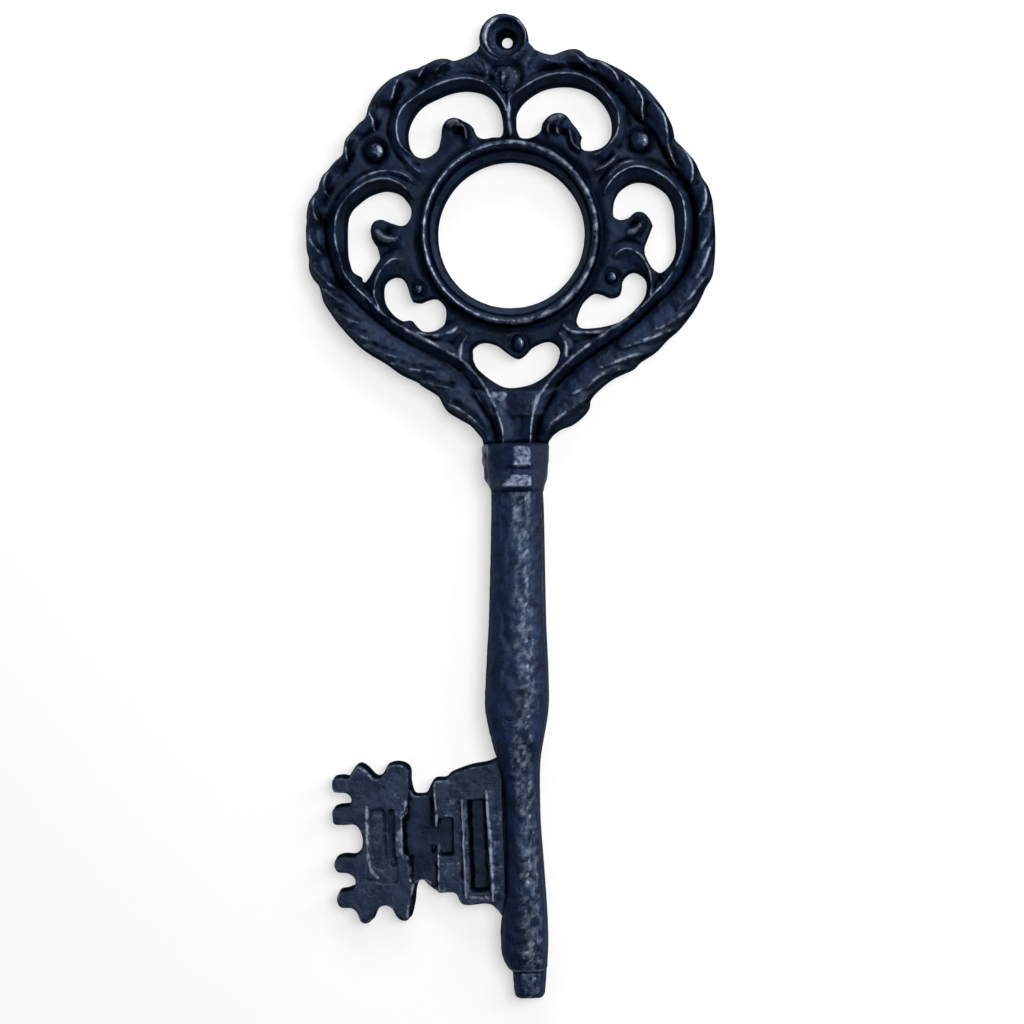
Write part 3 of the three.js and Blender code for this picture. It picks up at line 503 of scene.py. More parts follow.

# Ribs, with both ends dying away: crest height, half width, how far and how widely rubbed and lit with a
# painted highlight, and the path
ribs = [
    (6.7, 1.2, 0.7, 0.36, [(-23.4, 12.5), (-26, 15), (-29, 16.2), (-33, 16.3), (-37, 15), (-40.2, 12.6)]),
    (6.5, 1.1, 0.6, 0.36, [(24.6, 12.5), (26.4, 15), (29, 16.8), (33, 17.6)]),
    (6.3, 1.2, 0.6, 0.36, [(-27.6, 22.6), (-26, 19.4), (-24, 17), (-21.6, 15.4)]),
    (6.3, 1.2, 0.6, 0.36, [(28.2, 21), (26.5, 17.8), (24, 16), (21, 15)]),
    (6.9, 1.3, 0.9, 0.5, [(0.4, 22.6), (0.6, 25), (0.3, 28), (0.3, 31), (0.2, 33.2)]),
    (7.9, 1.9, 1.3, 0.95, [(-15.6, 27.2), (-14.6, 28), (-13.2, 28.3), (-11.8, 27.7)]),
    (7.6, 1.1, 1.0, 0.35, [(-12.4, 28.1), (-11, 26.8), (-10.6, 25), (-10.6, 23)]),
    (7.9, 1.9, 1.3, 0.95, [(10.4, 27.2), (11.4, 28.4), (13, 28.9), (14.2, 28)]),
    (7.4, 1.2, 0.9, 0.4, [(10.2, 24.6), (10.2, 26.4), (11, 28)]),
    (7.2, 1.0, 1.0, 0.35, [(12.8, 27.6), (12.4, 26), (12.8, 24.6)]),
    (7.2, 1.0, 1.0, 0.35, [(15.6, 26.6), (15.9, 23.8), (16.6, 21.8), (18.8, 20.2)]),
    (7.9, 1.8, 1.3, 0.8, [(-34, 2.4), (-33.6, 0.8), (-32.2, -0.6), (-29.8, -1.1), (-27.8, -0.4)]),
    (7.6, 1.6, 1.2, 0.7, [(34, 3.4), (33.2, 1.2), (31.6, -0.4), (29, -1)]),
    (6.3, 0.9, 0.7, 0.4, [(-8, 45), (-5.8, 43.2), (-4.9, 41.2), (-4.9, 39)]),
    (6.0, 0.8, 0.5, 0.36, [(6.6, 45), (5, 43), (4.4, 41)]),
    (7.0, 1.0, 1.1, 0.6, [(0.5, 35.6), (0.5, 34.8), (0.4, 34)]),
]

# Hollows: place, radius and depth
hollows = [
    (-13, 25.7, 1.3, 0.9), (11.4, 26, 0.9, 0.7), (14.2, 25.2, 1.1, 0.8), (-31, 1.5, 1.3, 0.9),
    (31, 1.5, 1.3, 0.9), (-36.4, -13.6, 1.8, 1.0), (36.6, -13.6, 1.8, 1.0), (-22.4, 13.4, 1.9, 0.7),
    (22.4, 13, 1.9, 0.7), (-15.5, -37.5, 1.5, 0.9), (14.6, -36.2, 1.6, 0.9), (-20, -28.2, 1.6, 0.4),
    (20, -28.2, 1.6, 0.4),
]

# Beads: middle, reach across and along, rise, lean in degrees, and radius and depth of the groove round it
beads = {
    "top_bead": (0.1, 39.2, 3.5, 3.6, 1.8, 0, 3.6, 0.7),
    "upper_bead_left": (-33.7, 21.1, 2.8, 2.8, 3.0, 0, 2.8, 1.1),
    "upper_bead_right": (33.3, 22.0, 2.85, 2.85, 3.0, 0, 2.85, 1.1),
    "lower_bead_left": (-23.8, -13.9, 1.4, 1.6, 2.0, -15, 1.6, 0.8),
    "lower_bead_right": (25.2, -12.2, 1.6, 1.8, 2.2, 15, 1.8, 0.8),
    "heart_bead": (1.3, -28.2, 1.7, 2.4, 2.3, 12, 2.1, 0.7),
}

# Rope borders: both sides of the bow are edged with twisted, leaf-like strands
groove_right = drawn([
    (9.6, 47), (6.2, 44), (5, 42), (5.2, 40), (8, 40.8), (12, 41.5), (16.5, 41.6), (21, 40.2), (25, 37.4),
    (28.6, 33.8), (30.8, 29.6), (33.4, 26.6), (36.6, 23.6), (38.6, 20), (40.4, 16.5), (42.8, 13.4),
    (45.4, 9.5), (46.8, 4.5), (46.9, -1), (46, -6.5), (43.8, -11.8), (40.4, -16), (36.2, -19.9),
    (30.7, -24.6), (24.7, -28.9), (19.2, -32.4), (14.7, -35.7), (11.2, -39.2), (8.7, -43), (6.8, -47),
    (5.7, -51), (5.4, -54.6),
])
groove_left = drawn([
    (-9, 46.6), (-6.4, 44.4), (-5.2, 42.5), (-5, 40.2), (-8, 40.8), (-12, 41.3), (-16.5, 40.6), (-21, 38.9),
    (-25, 36.6), (-28.6, 33.4), (-31, 29.6), (-33.6, 26.6), (-37.2, 23.6), (-39.2, 20), (-41, 16.5),
    (-43.4, 13.4), (-45.8, 9.5), (-47, 4.5), (-47, -1), (-46, -6.5), (-44, -11.8), (-40.8, -16),
    (-36.4, -20.2), (-30.9, -24.9), (-25, -28.9), (-19.6, -32.2), (-15, -35.5), (-11.4, -39.2), (-8.6, -43),
    (-6.6, -47), (-5.4, -51), (-5.2, -54.6),
])
edge_left = drawn([
    (-7, 46), (-10, 44.7), (-13, 43.8), (-15, 44.3), (-17, 44.3), (-19.5, 43.4), (-22, 42), (-24.5, 41.7),
    (-28, 40.3), (-31, 38.4), (-33.6, 35.6), (-35.2, 32.6), (-36, 29.8), (-37.6, 28.6), (-39.4, 26.7),
    (-40.9, 24.8), (-41.6, 22.6), (-42, 20.5), (-43.8, 19.2), (-45.6, 17.2), (-47.3, 15), (-48.1, 13.2),
    (-48.6, 11.8), (-49.8, 10.6), (-51, 8.4), (-51.6, 5.8), (-51.6, 4), (-51.85, 2), (-51.85, 0),
    (-51.8, -3), (-51.3, -5.5), (-51.3, -8), (-50.4, -10.4), (-48.9, -12.4), (-48, -16), (-47, -18),
    (-44, -22.5), (-40, -27), (-37, -29.5), (-33, -32), (-29, -35), (-25, -37), (-23.8, -38), (-20, -40.5),
    (-18.9, -42), (-17.4, -44.7), (-14, -47), (-11.7, -48.4), (-9.7, -50.7), (-8.6, -52.3), (-8.4, -54),
])
edge_right = drawn([
    (7.4, 46), (10, 45), (12, 44.7), (14.5, 45.5), (17, 46), (19, 45.5), (21, 43.9), (25, 42.5), (30, 39.8),
    (35, 36), (38, 32.5), (40, 29.5), (41.8, 25.4), (42.3, 22.5), (44, 20.5), (47, 17), (48.4, 14),
    (49, 12.5), (50.5, 10), (51.4, 6.8), (51.6, 4), (51.85, 0), (51.8, -4), (51.5, -8), (50.8, -12),
    (49, -15), (48.3, -16.5), (47, -19), (45, -22), (42, -25.5), (39, -28), (36, -31), (32, -33.5),
    (30, -35.3), (25, -37.5), (21, -40.5), (19, -42.8), (18.5, -45), (16.9, -47), (14.2, -49), (11.4, -50),
    (9.2, -51.5), (8, -53), (7.8, -54),
])
under_eye = drawn([
    (-7, 46), (-6.2, 47), (-5, 47.4), (-3.4, 46.2), (0, 45.4), (3, 46), (4.8, 47.4), (6, 47.4), (7.4, 46),
])
bow_edge = np.vstack([edge_right, edge_left[::-1][:-1], under_eye[:-1]])

# Strands: rise of the crest, how far it is rubbed and lit with a painted highlight, and its path from the
# outer edge inwards
strands_right = [
    (0.8, 0.6, [(8.6, 44.8), (10.6, 43.6), (13, 42.8), (16.6, 41.4)]),
    (1.5, 1.0, [(16.2, 45.8), (18.4, 44), (20.6, 41.8), (22.6, 39.8), (24.6, 38.8)]),
    (1.5, 1.0, [(22.2, 43.4), (25.2, 41.8), (27.7, 39.4), (28.9, 35.6)]),
    (1.1, 1.0, [(25.2, 38.2), (27.6, 34.8), (29.8, 30.4)]),
    (1.6, 1.0, [(30, 39.2), (32.4, 36.2), (34.3, 33), (34.2, 29.6), (34.8, 26)]),
    (1.7, 1.0, [(36.4, 33), (38.4, 30.4), (39.9, 28), (40.4, 24), (40.5, 21), (41.9, 16.6), (43.4, 14)]),
    (1.6, 1.0, [(43.2, 21), (45.5, 18.4), (46.6, 15.4), (46.3, 11.8), (44.8, 10)]),
    (0.8, 0.7, [(41.4, 15.6), (42.6, 13.2), (44.2, 10.8)]),
    (1.5, 0.9, [(49, 12.2), (49.9, 8.6), (49.5, 5.4), (48, 2.8), (47.6, 0.6)]),
    (1.5, 1.0, [(51.3, 4.8), (51, 1.4), (50.2, -2), (48.4, -5), (47.4, -7)]),
    (1.4, 1.0, [(51.2, -3.4), (50, -7), (48, -11.4), (45.6, -14.4)]),
    (1.4, 1.0, [(49.8, -11.6), (47, -15.6), (43.6, -19.4), (40.4, -21.6)]),
    (1.2, 0.9, [(46.6, -19), (42.4, -22.6), (38, -25), (34, -26.4)]),
    (1.2, 1.0, [(41.6, -25.4), (36, -27.6), (29.6, -29.6), (25, -30.6)]),
    (1.2, 1.0, [(35.4, -31), (29.6, -32.4), (24, -34.4), (19.4, -35.6)]),
    (1.2, 1.0, [(28.8, -35.2), (22.6, -36.6), (18, -40), (13, -42.4)]),
    (1.4, 1.0, [(20.2, -41.2), (18, -42.6), (13, -46), (9, -49), (7, -52)]),
]
strands_left = [
    (0.9, 0.5, [(-14.4, 44.2), (-17, 42.4), (-18.6, 40.4)]),
    (1.5, 0.8, [(-19.8, 43.2), (-21.2, 41.4), (-22.6, 39)]),
    (1.6, 0.9, [(-26.6, 40.8), (-28.2, 37.6), (-29, 35), (-30.6, 32)]),
    (1.5, 1.0, [(-34.9, 33), (-34.9, 31), (-34, 29), (-34.2, 26), (-34.8, 24)]),
    (1.5, 0.9, [(-39.6, 26.4), (-41, 23.4), (-40.9, 20), (-40.3, 16.8)]),
    (1.6, 0.9, [(-45.2, 17.6), (-46.6, 14.8), (-46.8, 12.4), (-45.4, 9)]),
    (1.5, 0.9, [(-49.2, 11.2), (-49.8, 8.2), (-49.4, 5.6), (-48, 2.8)]),
    (1.5, 0.9, [(-51.5, 2.8), (-50.8, -0.4), (-49.4, -2.8), (-47, -4.8)]),
    (1.3, 0.7, [(-51.2, -5.6), (-49.4, -8.8), (-46, -12), (-43.6, -13.6)]),
    (1.2, 0.75, [(-49.6, -11.4), (-46, -14.6), (-41.6, -17.2)]),
    (1.2, 0.8, [(-47.4, -17.2), (-42.6, -20.6), (-37.6, -22.2)]),
    (1.1, 0.75, [(-44.2, -21.8), (-40, -24.6), (-35, -26.8)]),
    (1.2, 0.85, [(-39.8, -26.8), (-33.6, -29.6), (-28, -31.2)]),
    (1.2, 0.85, [(-33.4, -31.4), (-28, -33.6), (-22, -34.6), (-18, -35.2)]),
    (1.2, 0.9, [(-26, -36.4), (-20, -38.2), (-14, -39.6)]),
    (1.5, 1.0, [(-18.6, -42.2), (-15.4, -43.8), (-12, -46), (-9.4, -48.6), (-7.2, -51.8)]),
]

RING_PLACE, WINDOW = (0.0, -0.45), 22.1  # middle of the centre ring, and radius of the hole under it
CORD_UP, RIB_UP, HOLLOW_UP, STRAND_UP = 7, 6.8, 6, 8.2  # heights at which they are seen

turn = np.linspace(0, 2 * np.pi, 277, endpoint=False)
window = np.column_stack([RING_PLACE[0] + WINDOW * np.cos(turn), RING_PLACE[1] + WINDOW * np.sin(turn)])
cord_lines = [
    (hand, top, at_height(drawn(path, 0.45), CORD_UP), start, end) for hand, top, start, end, path in cords
]
rib_lines = [
    (top, half, wear_and_highlight, wide, at_height(drawn(path, 0.45), RIB_UP)) for top, half, wear_and_highlight, wide, path in ribs
]
hollow_places = [
    (*at_height([(hx, hy)], HOLLOW_UP)[0], radius, depth) for hx, hy, radius, depth in hollows
]
strand_lines = [
    (rise, wear_and_highlight, at_height(drawn(path, 0.45), STRAND_UP)) for rise, wear_and_highlight, path in strands_right + strands_left
]


def dying(line, start, end, over):
    """1 along the line, easing to 0 over that length at the ends that die away."""
    run = np.concatenate([[0], np.cumsum(np.hypot(*np.diff(line[:, :2], axis=0).T))])
    over = min(over, 0.3 * run[-1])
    left = np.ones(len(line))
    if start:
        left = left * ease((run + 0.3) / over)
    if end:
        left = left * ease((run[-1] - run + 0.3) / over)
    return left


GROUND = 4.8  # height of the ground between the mouldings, where it meets an opening
NECK_TOP = -39  # where the ground gives way to the neck
OUTER_FOOT = 4.9  # height at which a cord's outer slope meets the ground
CORD_ENDS = 5.2  # height to which a cord dies away
BORDER_FOOT, BORDER_SWELL = 5.4, 1.3  # height of a border's outer edge, and its swell above that
RING_FOOT, RING_OVAL = 22.8, 0.035  # radius of the ring's foot, and how much taller than wide it is
EYE_FLOOR = 3.2  # height of the plate under the hanging eye


def bow_relief(places):
    """Height of the openwork at each place, and its wear with painted highlights."""
    x, y = places.T
    none = np.zeros(len(places))
    edge = none + 6
    for loop in openings:
        edge = np.minimum(edge, beside(places, closed(loop))[0])
    right_side = x > 0
    to_groove, groove_hand, _ = beside(places, groove_right, 14)
    to_left, left_hand, _ = beside(places, groove_left, 14)
    groove = np.where(right_side, to_groove, to_left)
    border = np.where(right_side, groove_hand < 0, left_hand > 0) & (np.abs(x) > 5)
    rim = np.where(right_side, beside(places, edge_right, 14)[0], beside(places, edge_left, 14)[0])

    # the ground between the mouldings, and the neck, which is folded along its middle
    z = GROUND + 0.7 * ease(edge / 4)
    fold = np.minimum(0.22 * np.abs(x + 1.8), 0.95)
    neck = np.where(y > -46.8, 6.3 + (y + 41) * 0.12 + fold, 5.2 + 0.4 * fold)
    z = z + ease((NECK_TOP - y) / 2) * (neck - z)

    # the cords: a slope down to the opening, and a short fall or a broad slope on the other hand
    wear_and_highlight, cord_groove = none, none
    upper = ease((y - 30) / 6)
    for hand, top, line, start, end in cord_lines:
        tops = np.column_stack([line, dying(line, start, end, 4.5)])
        gap, side, at = beside(places, tops, 5.0)
        full = at[:, 2]
        soft = np.sqrt(gap**2 + 0.006) - 0.077
        inner = np.clip(1 - soft / np.minimum(gap + edge + 0.05, 4.6), 0, 1)
        outer_width = np.where(border, 1.0, np.clip(gap + groove, 1.1, 2.5))
        outer = np.clip(1 - soft / outer_width, 0, 1)
        facing = side * hand > 0
        share = np.where(facing, inner**1.1, outer)
        foot = np.where(facing, OPENING_TOP, OUTER_FOOT + upper * ease((edge - 3.2) / 1.2))
        z = np.maximum(z, foot + ((top - 0.6) * full + CORD_ENDS * (1 - full) + 0.6 * full - foot) * share)
        # wear with a painted highlight along the crest of each cord, broader low on the bow
        wide = 0.27 + 0.3 * ease((-16 - y) / 12) * ease((y + 50) / 6)
        bright = np.where(border, 0.4, 1.16 - 0.6 * wide)
        wear_and_highlight = np.maximum(wear_and_highlight, full * np.exp(-((gap / wide) ** 2)) * bright)
        beyond = full * np.exp(-(((gap - outer_width) / 0.5) ** 2))
        cord_groove = np.maximum(cord_groove, np.where(facing, 0, beyond))
    lie = ease((12 - y) / 8)  # 1 where the strands lie slanting, 0 where they stand across the border
    z = z - 0.45 * cord_groove * (1 - (0.8 - 0.4 * lie) * ease((1.6 - groove) / 1.6))

    # the borders: rounded from the edge to the groove, with a crest along each strand
    across = rim / (rim + groove + 1e-6)
    swell = np.interp(across, [0, 0.1, 0.28, 0.55, 0.8, 0.95, 1], [0, 0.5, 0.9, 1, 0.75, 0.15, 0])
    swell = swell + np.maximum(lie, upper) * np.interp(across, [0.55, 0.8, 0.95, 1], [0, 0.1, 0.35, 0.4])
    swell = BORDER_FOOT - 0.3 * lie + swell * (BORDER_SWELL + 0.5 * lie)
    strand, strand_wear_and_highlight = none, none
    for rise, wear_and_highlight_amount, line in strand_lines:
        tops = np.column_stack([line, dying(line, True, True, 3)])
        gap, hand, at = beside(places, tops, 8)
        full, steep = at[:, 2], hand < 0
        soft = np.sqrt(gap**2 + 0.01) - 0.1
        fall = np.where(steep, 1 - soft / 1.3, 1 - soft / 5.5)
        strand = np.maximum(strand, rise * full * np.clip(fall, 0, 1))
        # wear with a painted highlight along each strand, fainter where the strands lie slanting, a little
        # more so on the left
        wide = np.where(steep, 0.2 + 0.2 * lie, 0.36 + 0.55 * lie)
        faint = 1 - lie * np.where(right_side, 0.38, 0.44)
        strand_wear_and_highlight = np.maximum(strand_wear_and_highlight, wear_and_highlight_amount * faint * full * np.exp(-((gap / wide) ** 2)))
    cover = ease(across / 0.1) * ease((1 - across) / 0.12)
    swell = swell + (strand * (1.6 - 0.3 * lie) - 0.4) * cover
    z = np.where(border, swell, z)
    wear_and_highlight = np.where(border, strand_wear_and_highlight, wear_and_highlight)
    z = z - 0.4 * lie * np.exp(-((groove / 0.8) ** 2))

    # ribs, hollows, the groove round each bead, and the moats round the centre ring and the eye
    for top, half, wear_and_highlight_amount, wide, line in rib_lines:
        tops = np.column_stack([line, dying(line, True, True, 2.2)])
        gap, _, at = beside(places, tops, 3.0)
        share = np.clip(1 - (np.sqrt(gap**2 + 0.01) - 0.1) / half, 0, 1)
        z = z + np.maximum(top - z, 0) * at[:, 2] * share
        # wear with a painted highlight along each rib
        wear_and_highlight = np.maximum(wear_and_highlight, wear_and_highlight_amount * at[:, 2] * np.exp(-((gap / wide) ** 2)))
    for hx, hy, radius, depth in hollow_places:
        z = z - depth * np.exp(-((x - hx) ** 2 + (y - hy) ** 2) / radius**2)
    moat = np.maximum(np.hypot(x - RING_PLACE[0], (y - RING_PLACE[1]) / (1 + RING_OVAL)) - RING_FOOT, 0)
    z = z - 1.5 * np.exp(-((moat / 1.5) ** 2))
    for bx, by, *_, radius, depth in beads.values():
        outside = np.maximum(np.hypot(x - bx, y - by) - radius, 0)
        z = z - depth * np.exp(-((outside / 0.75) ** 2))
    boss = np.maximum(np.hypot(x + 0.5, y - 49.2) - 6.0, 0)
    z = z + 1.5 * np.exp(-((boss / 1.5) ** 2)) * (y > 42)
    z = z - 1.3 * ease((-52.6 - y) / 1.3)
    z = z + 0.12 * lumpy(places, 2.2) + 0.09 * lumpy(places, 0.9, 4) + 0.2 * border * lumpy(places, 1.5, 11)
    z = z + ease((5.6 - np.hypot(x + 0.4, y - 49.1)) / 0.5) * (EYE_FLOOR - z)

    # painted highlight on the neck, on the left hand of its fold, which faces the light, and along the
    # right cord
    neck_highlight = ease((x + 6.6) / 0.8) * ease((-1.6 - x) / 0.5)
    neck_highlight = neck_highlight * ease((-40 - y) / 0.6) * ease((y + 46.8) / 0.5)
    wear_and_highlight = np.maximum(wear_and_highlight, neck_highlight * (0.4 + 0.05 * (y + 46)))
    beside_cord = np.exp(-(((x - 5.2 - 0.45 * (y + 43)) / 0.7) ** 2))
    wear_and_highlight = np.maximum(wear_and_highlight, 0.5 * beside_cord * ease((-39.5 - y) / 1.5) * ease((y + 47.5) / 1))
    near = np.minimum(edge, np.where(y > 46, 6, rim))
    patchy = 0.85 + 0.9 * lumpy(places, 3.2, 7) + 0.5 * lumpy(places, 1.1, 9)
    return z - rounded(near, 0.5), wear_and_highlight * ease(near / 0.5) * np.clip(patchy, 0.35, 1.25)


bow = carved(
    [bow_edge, window, *openings],
    [line for _, _, line, _, _ in cord_lines] + [line for *_, line in rib_lines]
    + [line[1:-1] for *_, line in strand_lines],
    bow_relief,
)
blackened = iron("blackened iron")
finished(
    "bow", cast(bow, 0.03), blackened, "blackened_iron", "bow_plate", "centre_post", "neck_panel",
    *[
        f"{part}_{hand}" for hand in ("left", "right") for part in (
            "rope_border", "upper_moulding", "strap_moulding", "brow_moulding", "lobe_moulding",
            "sill_moulding", "heart_moulding", "upper_curl", "side_curl",
        )
    ],
    sharp=80, low=6.2, shade=0.95, crease=0.13,
)


# Centre ring: a heavy stepped ring round the open window of the bow, cast on the plate. Its
# crest is rounded and rubbed, with a painted highlight broader on the right, where the light falls;
# a crease runs inside it, and the inner ledge falls to the window.

def turned(profile, centre, steps):
    """A profile of radius and height spun once round; it starts and ends on the same place."""
    bm = bmesh.new()
    places = [bm.verts.new((r, 0, z)) for r, z in profile]
    sides = [bm.edges.new((a, b)) for a, b in zip(places, places[1:] + places[:1])]
    bmesh.ops.spin(
        bm, geom=places + sides, cent=(0, 0, 0), axis=(0, 0, 1), angle=2 * math.pi, steps=steps,
        use_merge=True,
    )
    bmesh.ops.remove_doubles(bm, verts=bm.verts, dist=0.0005)
    bmesh.ops.translate(bm, verts=bm.verts, vec=(*centre, 0))
    return bm


def fine(profile, gap):
    """The profile with more places along its straight runs."""
    line = []
    for p, q in zip(profile, profile[1:]):
        steps = max(1, math.ceil(math.dist(p, q) / gap))
        line += [(p[0] + (q[0] - p[0]) * i / steps, p[1] + (q[1] - p[1]) * i / steps) for i in range(steps)]
    return [*line, profile[-1]]


def worn_and_lit(bm, rule):
    """Keeps on each vertex how much wear and painted highlight rule(place) gives it."""
    crest = bm.verts.layers.float.new("crest")
    for v in bm.verts:
        v[crest] = rule(v.co)
    return bm


def waves(x, y, z):
    return noise.noise(Vector((x, y, z)))


ring_profile = fine([
    (19.05, 0), (18.75, 0.3), (18.75, 4.2), (18.85, 4.7), (19.05, 5.05), (19.5, 5.6), (20.0, 6.1),
    (20.25, 6.35), (20.4, 6.8), (20.55, 7.4), (20.75, 8.0), (21.0, 8.5), (21.35, 8.85), (21.8, 9.0),
    (22.25, 8.8), (22.55, 8.3), (22.75, 7.5), (22.85, 6.6), (22.9, 5.5), (22.9, 0.3), (22.6, 0),
], 0.35)
ring = turned(ring_profile, (0, 0), 420)
for v in ring.verts:
    turn = math.atan2(v.co.y, v.co.x)
    uneven = waves(math.cos(turn) * 2.4, math.sin(turn) * 2.4, v.co.z * 0.2)
    v.co.y *= 1 + RING_OVAL * ease((v.co.xy.length - 19) / 2.5)  # the window stays round
    v.co.xy *= 1 + 0.006 * uneven
    if v.co.z > 4.6:
        v.co.z += 0.25 * waves(v.co.x * 0.35, v.co.y * 0.35, 5)


def ring_wear_and_highlight(place):
    """Wear with a painted highlight: a thin bright line inside the crest, and a broader one on it, more so
    on the right, where the light falls.
    """
    out = math.hypot(place.x, place.y / (1 + RING_OVAL))
    right = ease((place.x + 16) / 22)
    line = math.exp(-(((out - 21.55) / 0.3) ** 2)) * (0.95 - 0.4 * right)
    band = math.exp(-(((out - 21.95) / 0.95) ** 4)) * (0.18 + 0.4 * right + 0.1 * ease(-place.y / 20))
    patchy = 0.85 + 0.6 * noise.noise(place * 0.45) + 0.3 * noise.noise(place * 1.3)
    return patchy * max(line, band)


worn_and_lit(ring, ring_wear_and_highlight)
bmesh.ops.translate(ring, verts=ring.verts, vec=(*RING_PLACE, 0))
# finish of the ring, eye and top bead, whose bright colour is wear with painted highlights
rubbed_and_lit = iron("rubbed iron", Rubbing=0.92, Satin=0.38)
finished("ring_casting", cast(ring, 0.07, 2.2), rubbed_and_lit, "rubbed_iron", "centre_ring")


# Hanging eye: a thick boss at the top of the bow with a dished face and a small cored hole, cast
# in one with the bow. Its rim carries wear with a painted highlight, and the dish a painted highlight on
# the left.

EYE_REACH, RIM_CREST = 6.2, 5.15  # radii of the boss and of its rim

eye_profile = fine([
    (1.7, 0), (1.4, 0.3), (1.4, 1.2), (1.6, 2.0), (2.1, 3.4), (2.55, 4.6), (2.75, 5.0), (3.1, 5.25),
    (3.6, 5.55), (4.2, 6.1), (4.6, 6.7), (4.85, 7.1), (5.1, 7.35), (5.4, 7.25), (5.7, 6.8), (5.98, 5.9),
    (6.15, 4.8),
    (EYE_REACH, 3.5), (EYE_REACH, 0.3), (5.9, 0),
], 0.28)


def eye_wear_and_highlight(place):
    """Wear with a painted highlight on the rim, most on its two sides and more on the right, and a painted
    highlight on a little of the left hand of the dish, which faces the light.
    """
    out = place.xy.length
    patchy = 0.75 + 0.8 * noise.noise(place * 0.35 + Vector((3, 0, 0))) + 0.4 * noise.noise(place * 1.2)
    bowl = 0.36 * math.exp(-(((out - 4.1) / 0.8) ** 2)) * ease(0.5 - place.x / 6)
    aside = ease((abs(place.x - 0.1 * place.y) / max(out, 0.1) - 0.3) / 0.5)
    sides = 0.35 + (0.85 + 0.3 * (place.x > 0)) * aside
    return max(patchy * sides * math.exp(-(((out - RIM_CREST) / 0.45) ** 2)), bowl, 0.0)


eye = worn_and_lit(turned(eye_profile, (0, 0), 132), eye_wear_and_highlight)
for v in eye.verts:  # the dish is cut nearer to the right hand of the boss
    v.co.xy += Vector((0.75, -0.35)) * min(max((EYE_REACH - v.co.xy.length) / 1.2, 0), 1)
bmesh.ops.translate(eye, verts=eye.verts, vec=(-0.48, 49.2, 0))
finished("eye_casting", cast(eye, 0.1, 1.8), rubbed_and_lit, "rubbed_iron", "hanging_eye")


# Beads: small domed studs at the top, on the shoulders, on the lower knobs and in the notch of
# the heart. They are part of the casting and a little flattened, with a painted highlight on the right
# hand;
# the top one has mottled wear with a painted highlight streak on its bud.

def bead_highlight(place):
    """A painted highlight on the right hand of a bead, half way down."""
    out = place.xy.length
    side = ease((place.x / max(out, 0.01) - 0.35) / 0.4)
    patchy = 0.85 + 0.5 * noise.noise(place * 4)
    return 1.15 * patchy * side * math.exp(-(((out - 0.55) / 0.2) ** 2))


BEAD_FOOT = 4.6
highlighted = iron(
    "fingered iron", Rubbing=0.9, Satin=0.24, Grain=0.5, Breakup=0.4, Tint=(0.007, 0.016, 0.045, 1),
)
for name, (x, y, wide, tall, high, lean, *_) in beads.items():
    bead = bmesh.new()
    bmesh.ops.create_uvsphere(bead, u_segments=64, v_segments=48, radius=1)
    bmesh.ops.bisect_plane(
        bead, geom=bead.verts[:] + bead.edges[:] + bead.faces[:], plane_co=(0, 0, -0.3), plane_no=(0, 0, 1),
        clear_inner=True,
    )
    bmesh.ops.contextual_create(bead, geom=[e for e in bead.edges if len(e.link_faces) == 1])
    worn_and_lit(bead, bead_highlight)
    bmesh.ops.scale(bead, verts=bead.verts, vec=(wide, tall, high))
    if name == "top_bead":  # a low disc with a small oval bud on it
        crest = bead.verts.layers.float["crest"]
        for v in bead.verts:
            across = (v.co.xy - Vector((-0.7, -0.4))) @ Matrix.Rotation(math.radians(-14), 2)
            bud = ease(1.25 - math.hypot(across.x / 1.2, across.y / 1.9))
            v.co.z += 1.2 * bud * (v.co.z > 0.5)
            # a painted highlight streak on the bud, over mottled wear
            streak = math.exp(-((across.x / 0.45) ** 2) - (across.y / 1.2) ** 2)
            v[crest] = 0.24 + 0.45 * noise.noise(v.co * 2.6) + 0.12 * bud + 0.4 * streak
    slant = Matrix.Rotation(math.radians(lean), 3, "Z")
    bmesh.ops.rotate(bead, verts=bead.verts, cent=(0, 0, 0), matrix=slant)
    bmesh.ops.translate(bead, verts=bead.verts, vec=(x, y, BEAD_FOOT))
    skin_of_bead = rubbed_and_lit if name == "top_bead" else highlighted
    finished(name.replace("bead", "stud"), cast(bead, 0.12, 1.2), skin_of_bead, "rubbed_iron", name)


# Collar: a raised band with a shallow groove filed across its front, where the bow is joined to
# the shank. Its front is dressed flat, with a bevel on each hand, and it tapers into the shank.

def lofted(stations):
    """Sections of equally many places, each bridged to the next, and both ends filled."""
    bm = bmesh.new()
    rings = []
    for section in stations:
        places = [bm.verts.new(p) for p in section]
        rings.append([bm.edges.new((a, b)) for a, b in zip(places, places[1:] + places[:1])])
    for a, b in zip(rings, rings[1:]):
        bmesh.ops.bridge_loops(bm, edges=a + b)
    for end in (rings[0], rings[-1]):
        bmesh.ops.contextual_create(bm, geom=end)
    return bm


COLLAR_TOP, COLLAR_LENGTH, COLLAR_HEIGHT = 15.6, 12.2, 12.25  # its upper end is 15.6 mm from the middle
STATIONS, PARTS = 80, 8  # sections along the collar, and parts of each straight run across it
BAND_END = 7  # how far down the upper facet gives way to the lower one


def read_off(x, marks, values):
    return float(np.interp(x, marks, values))


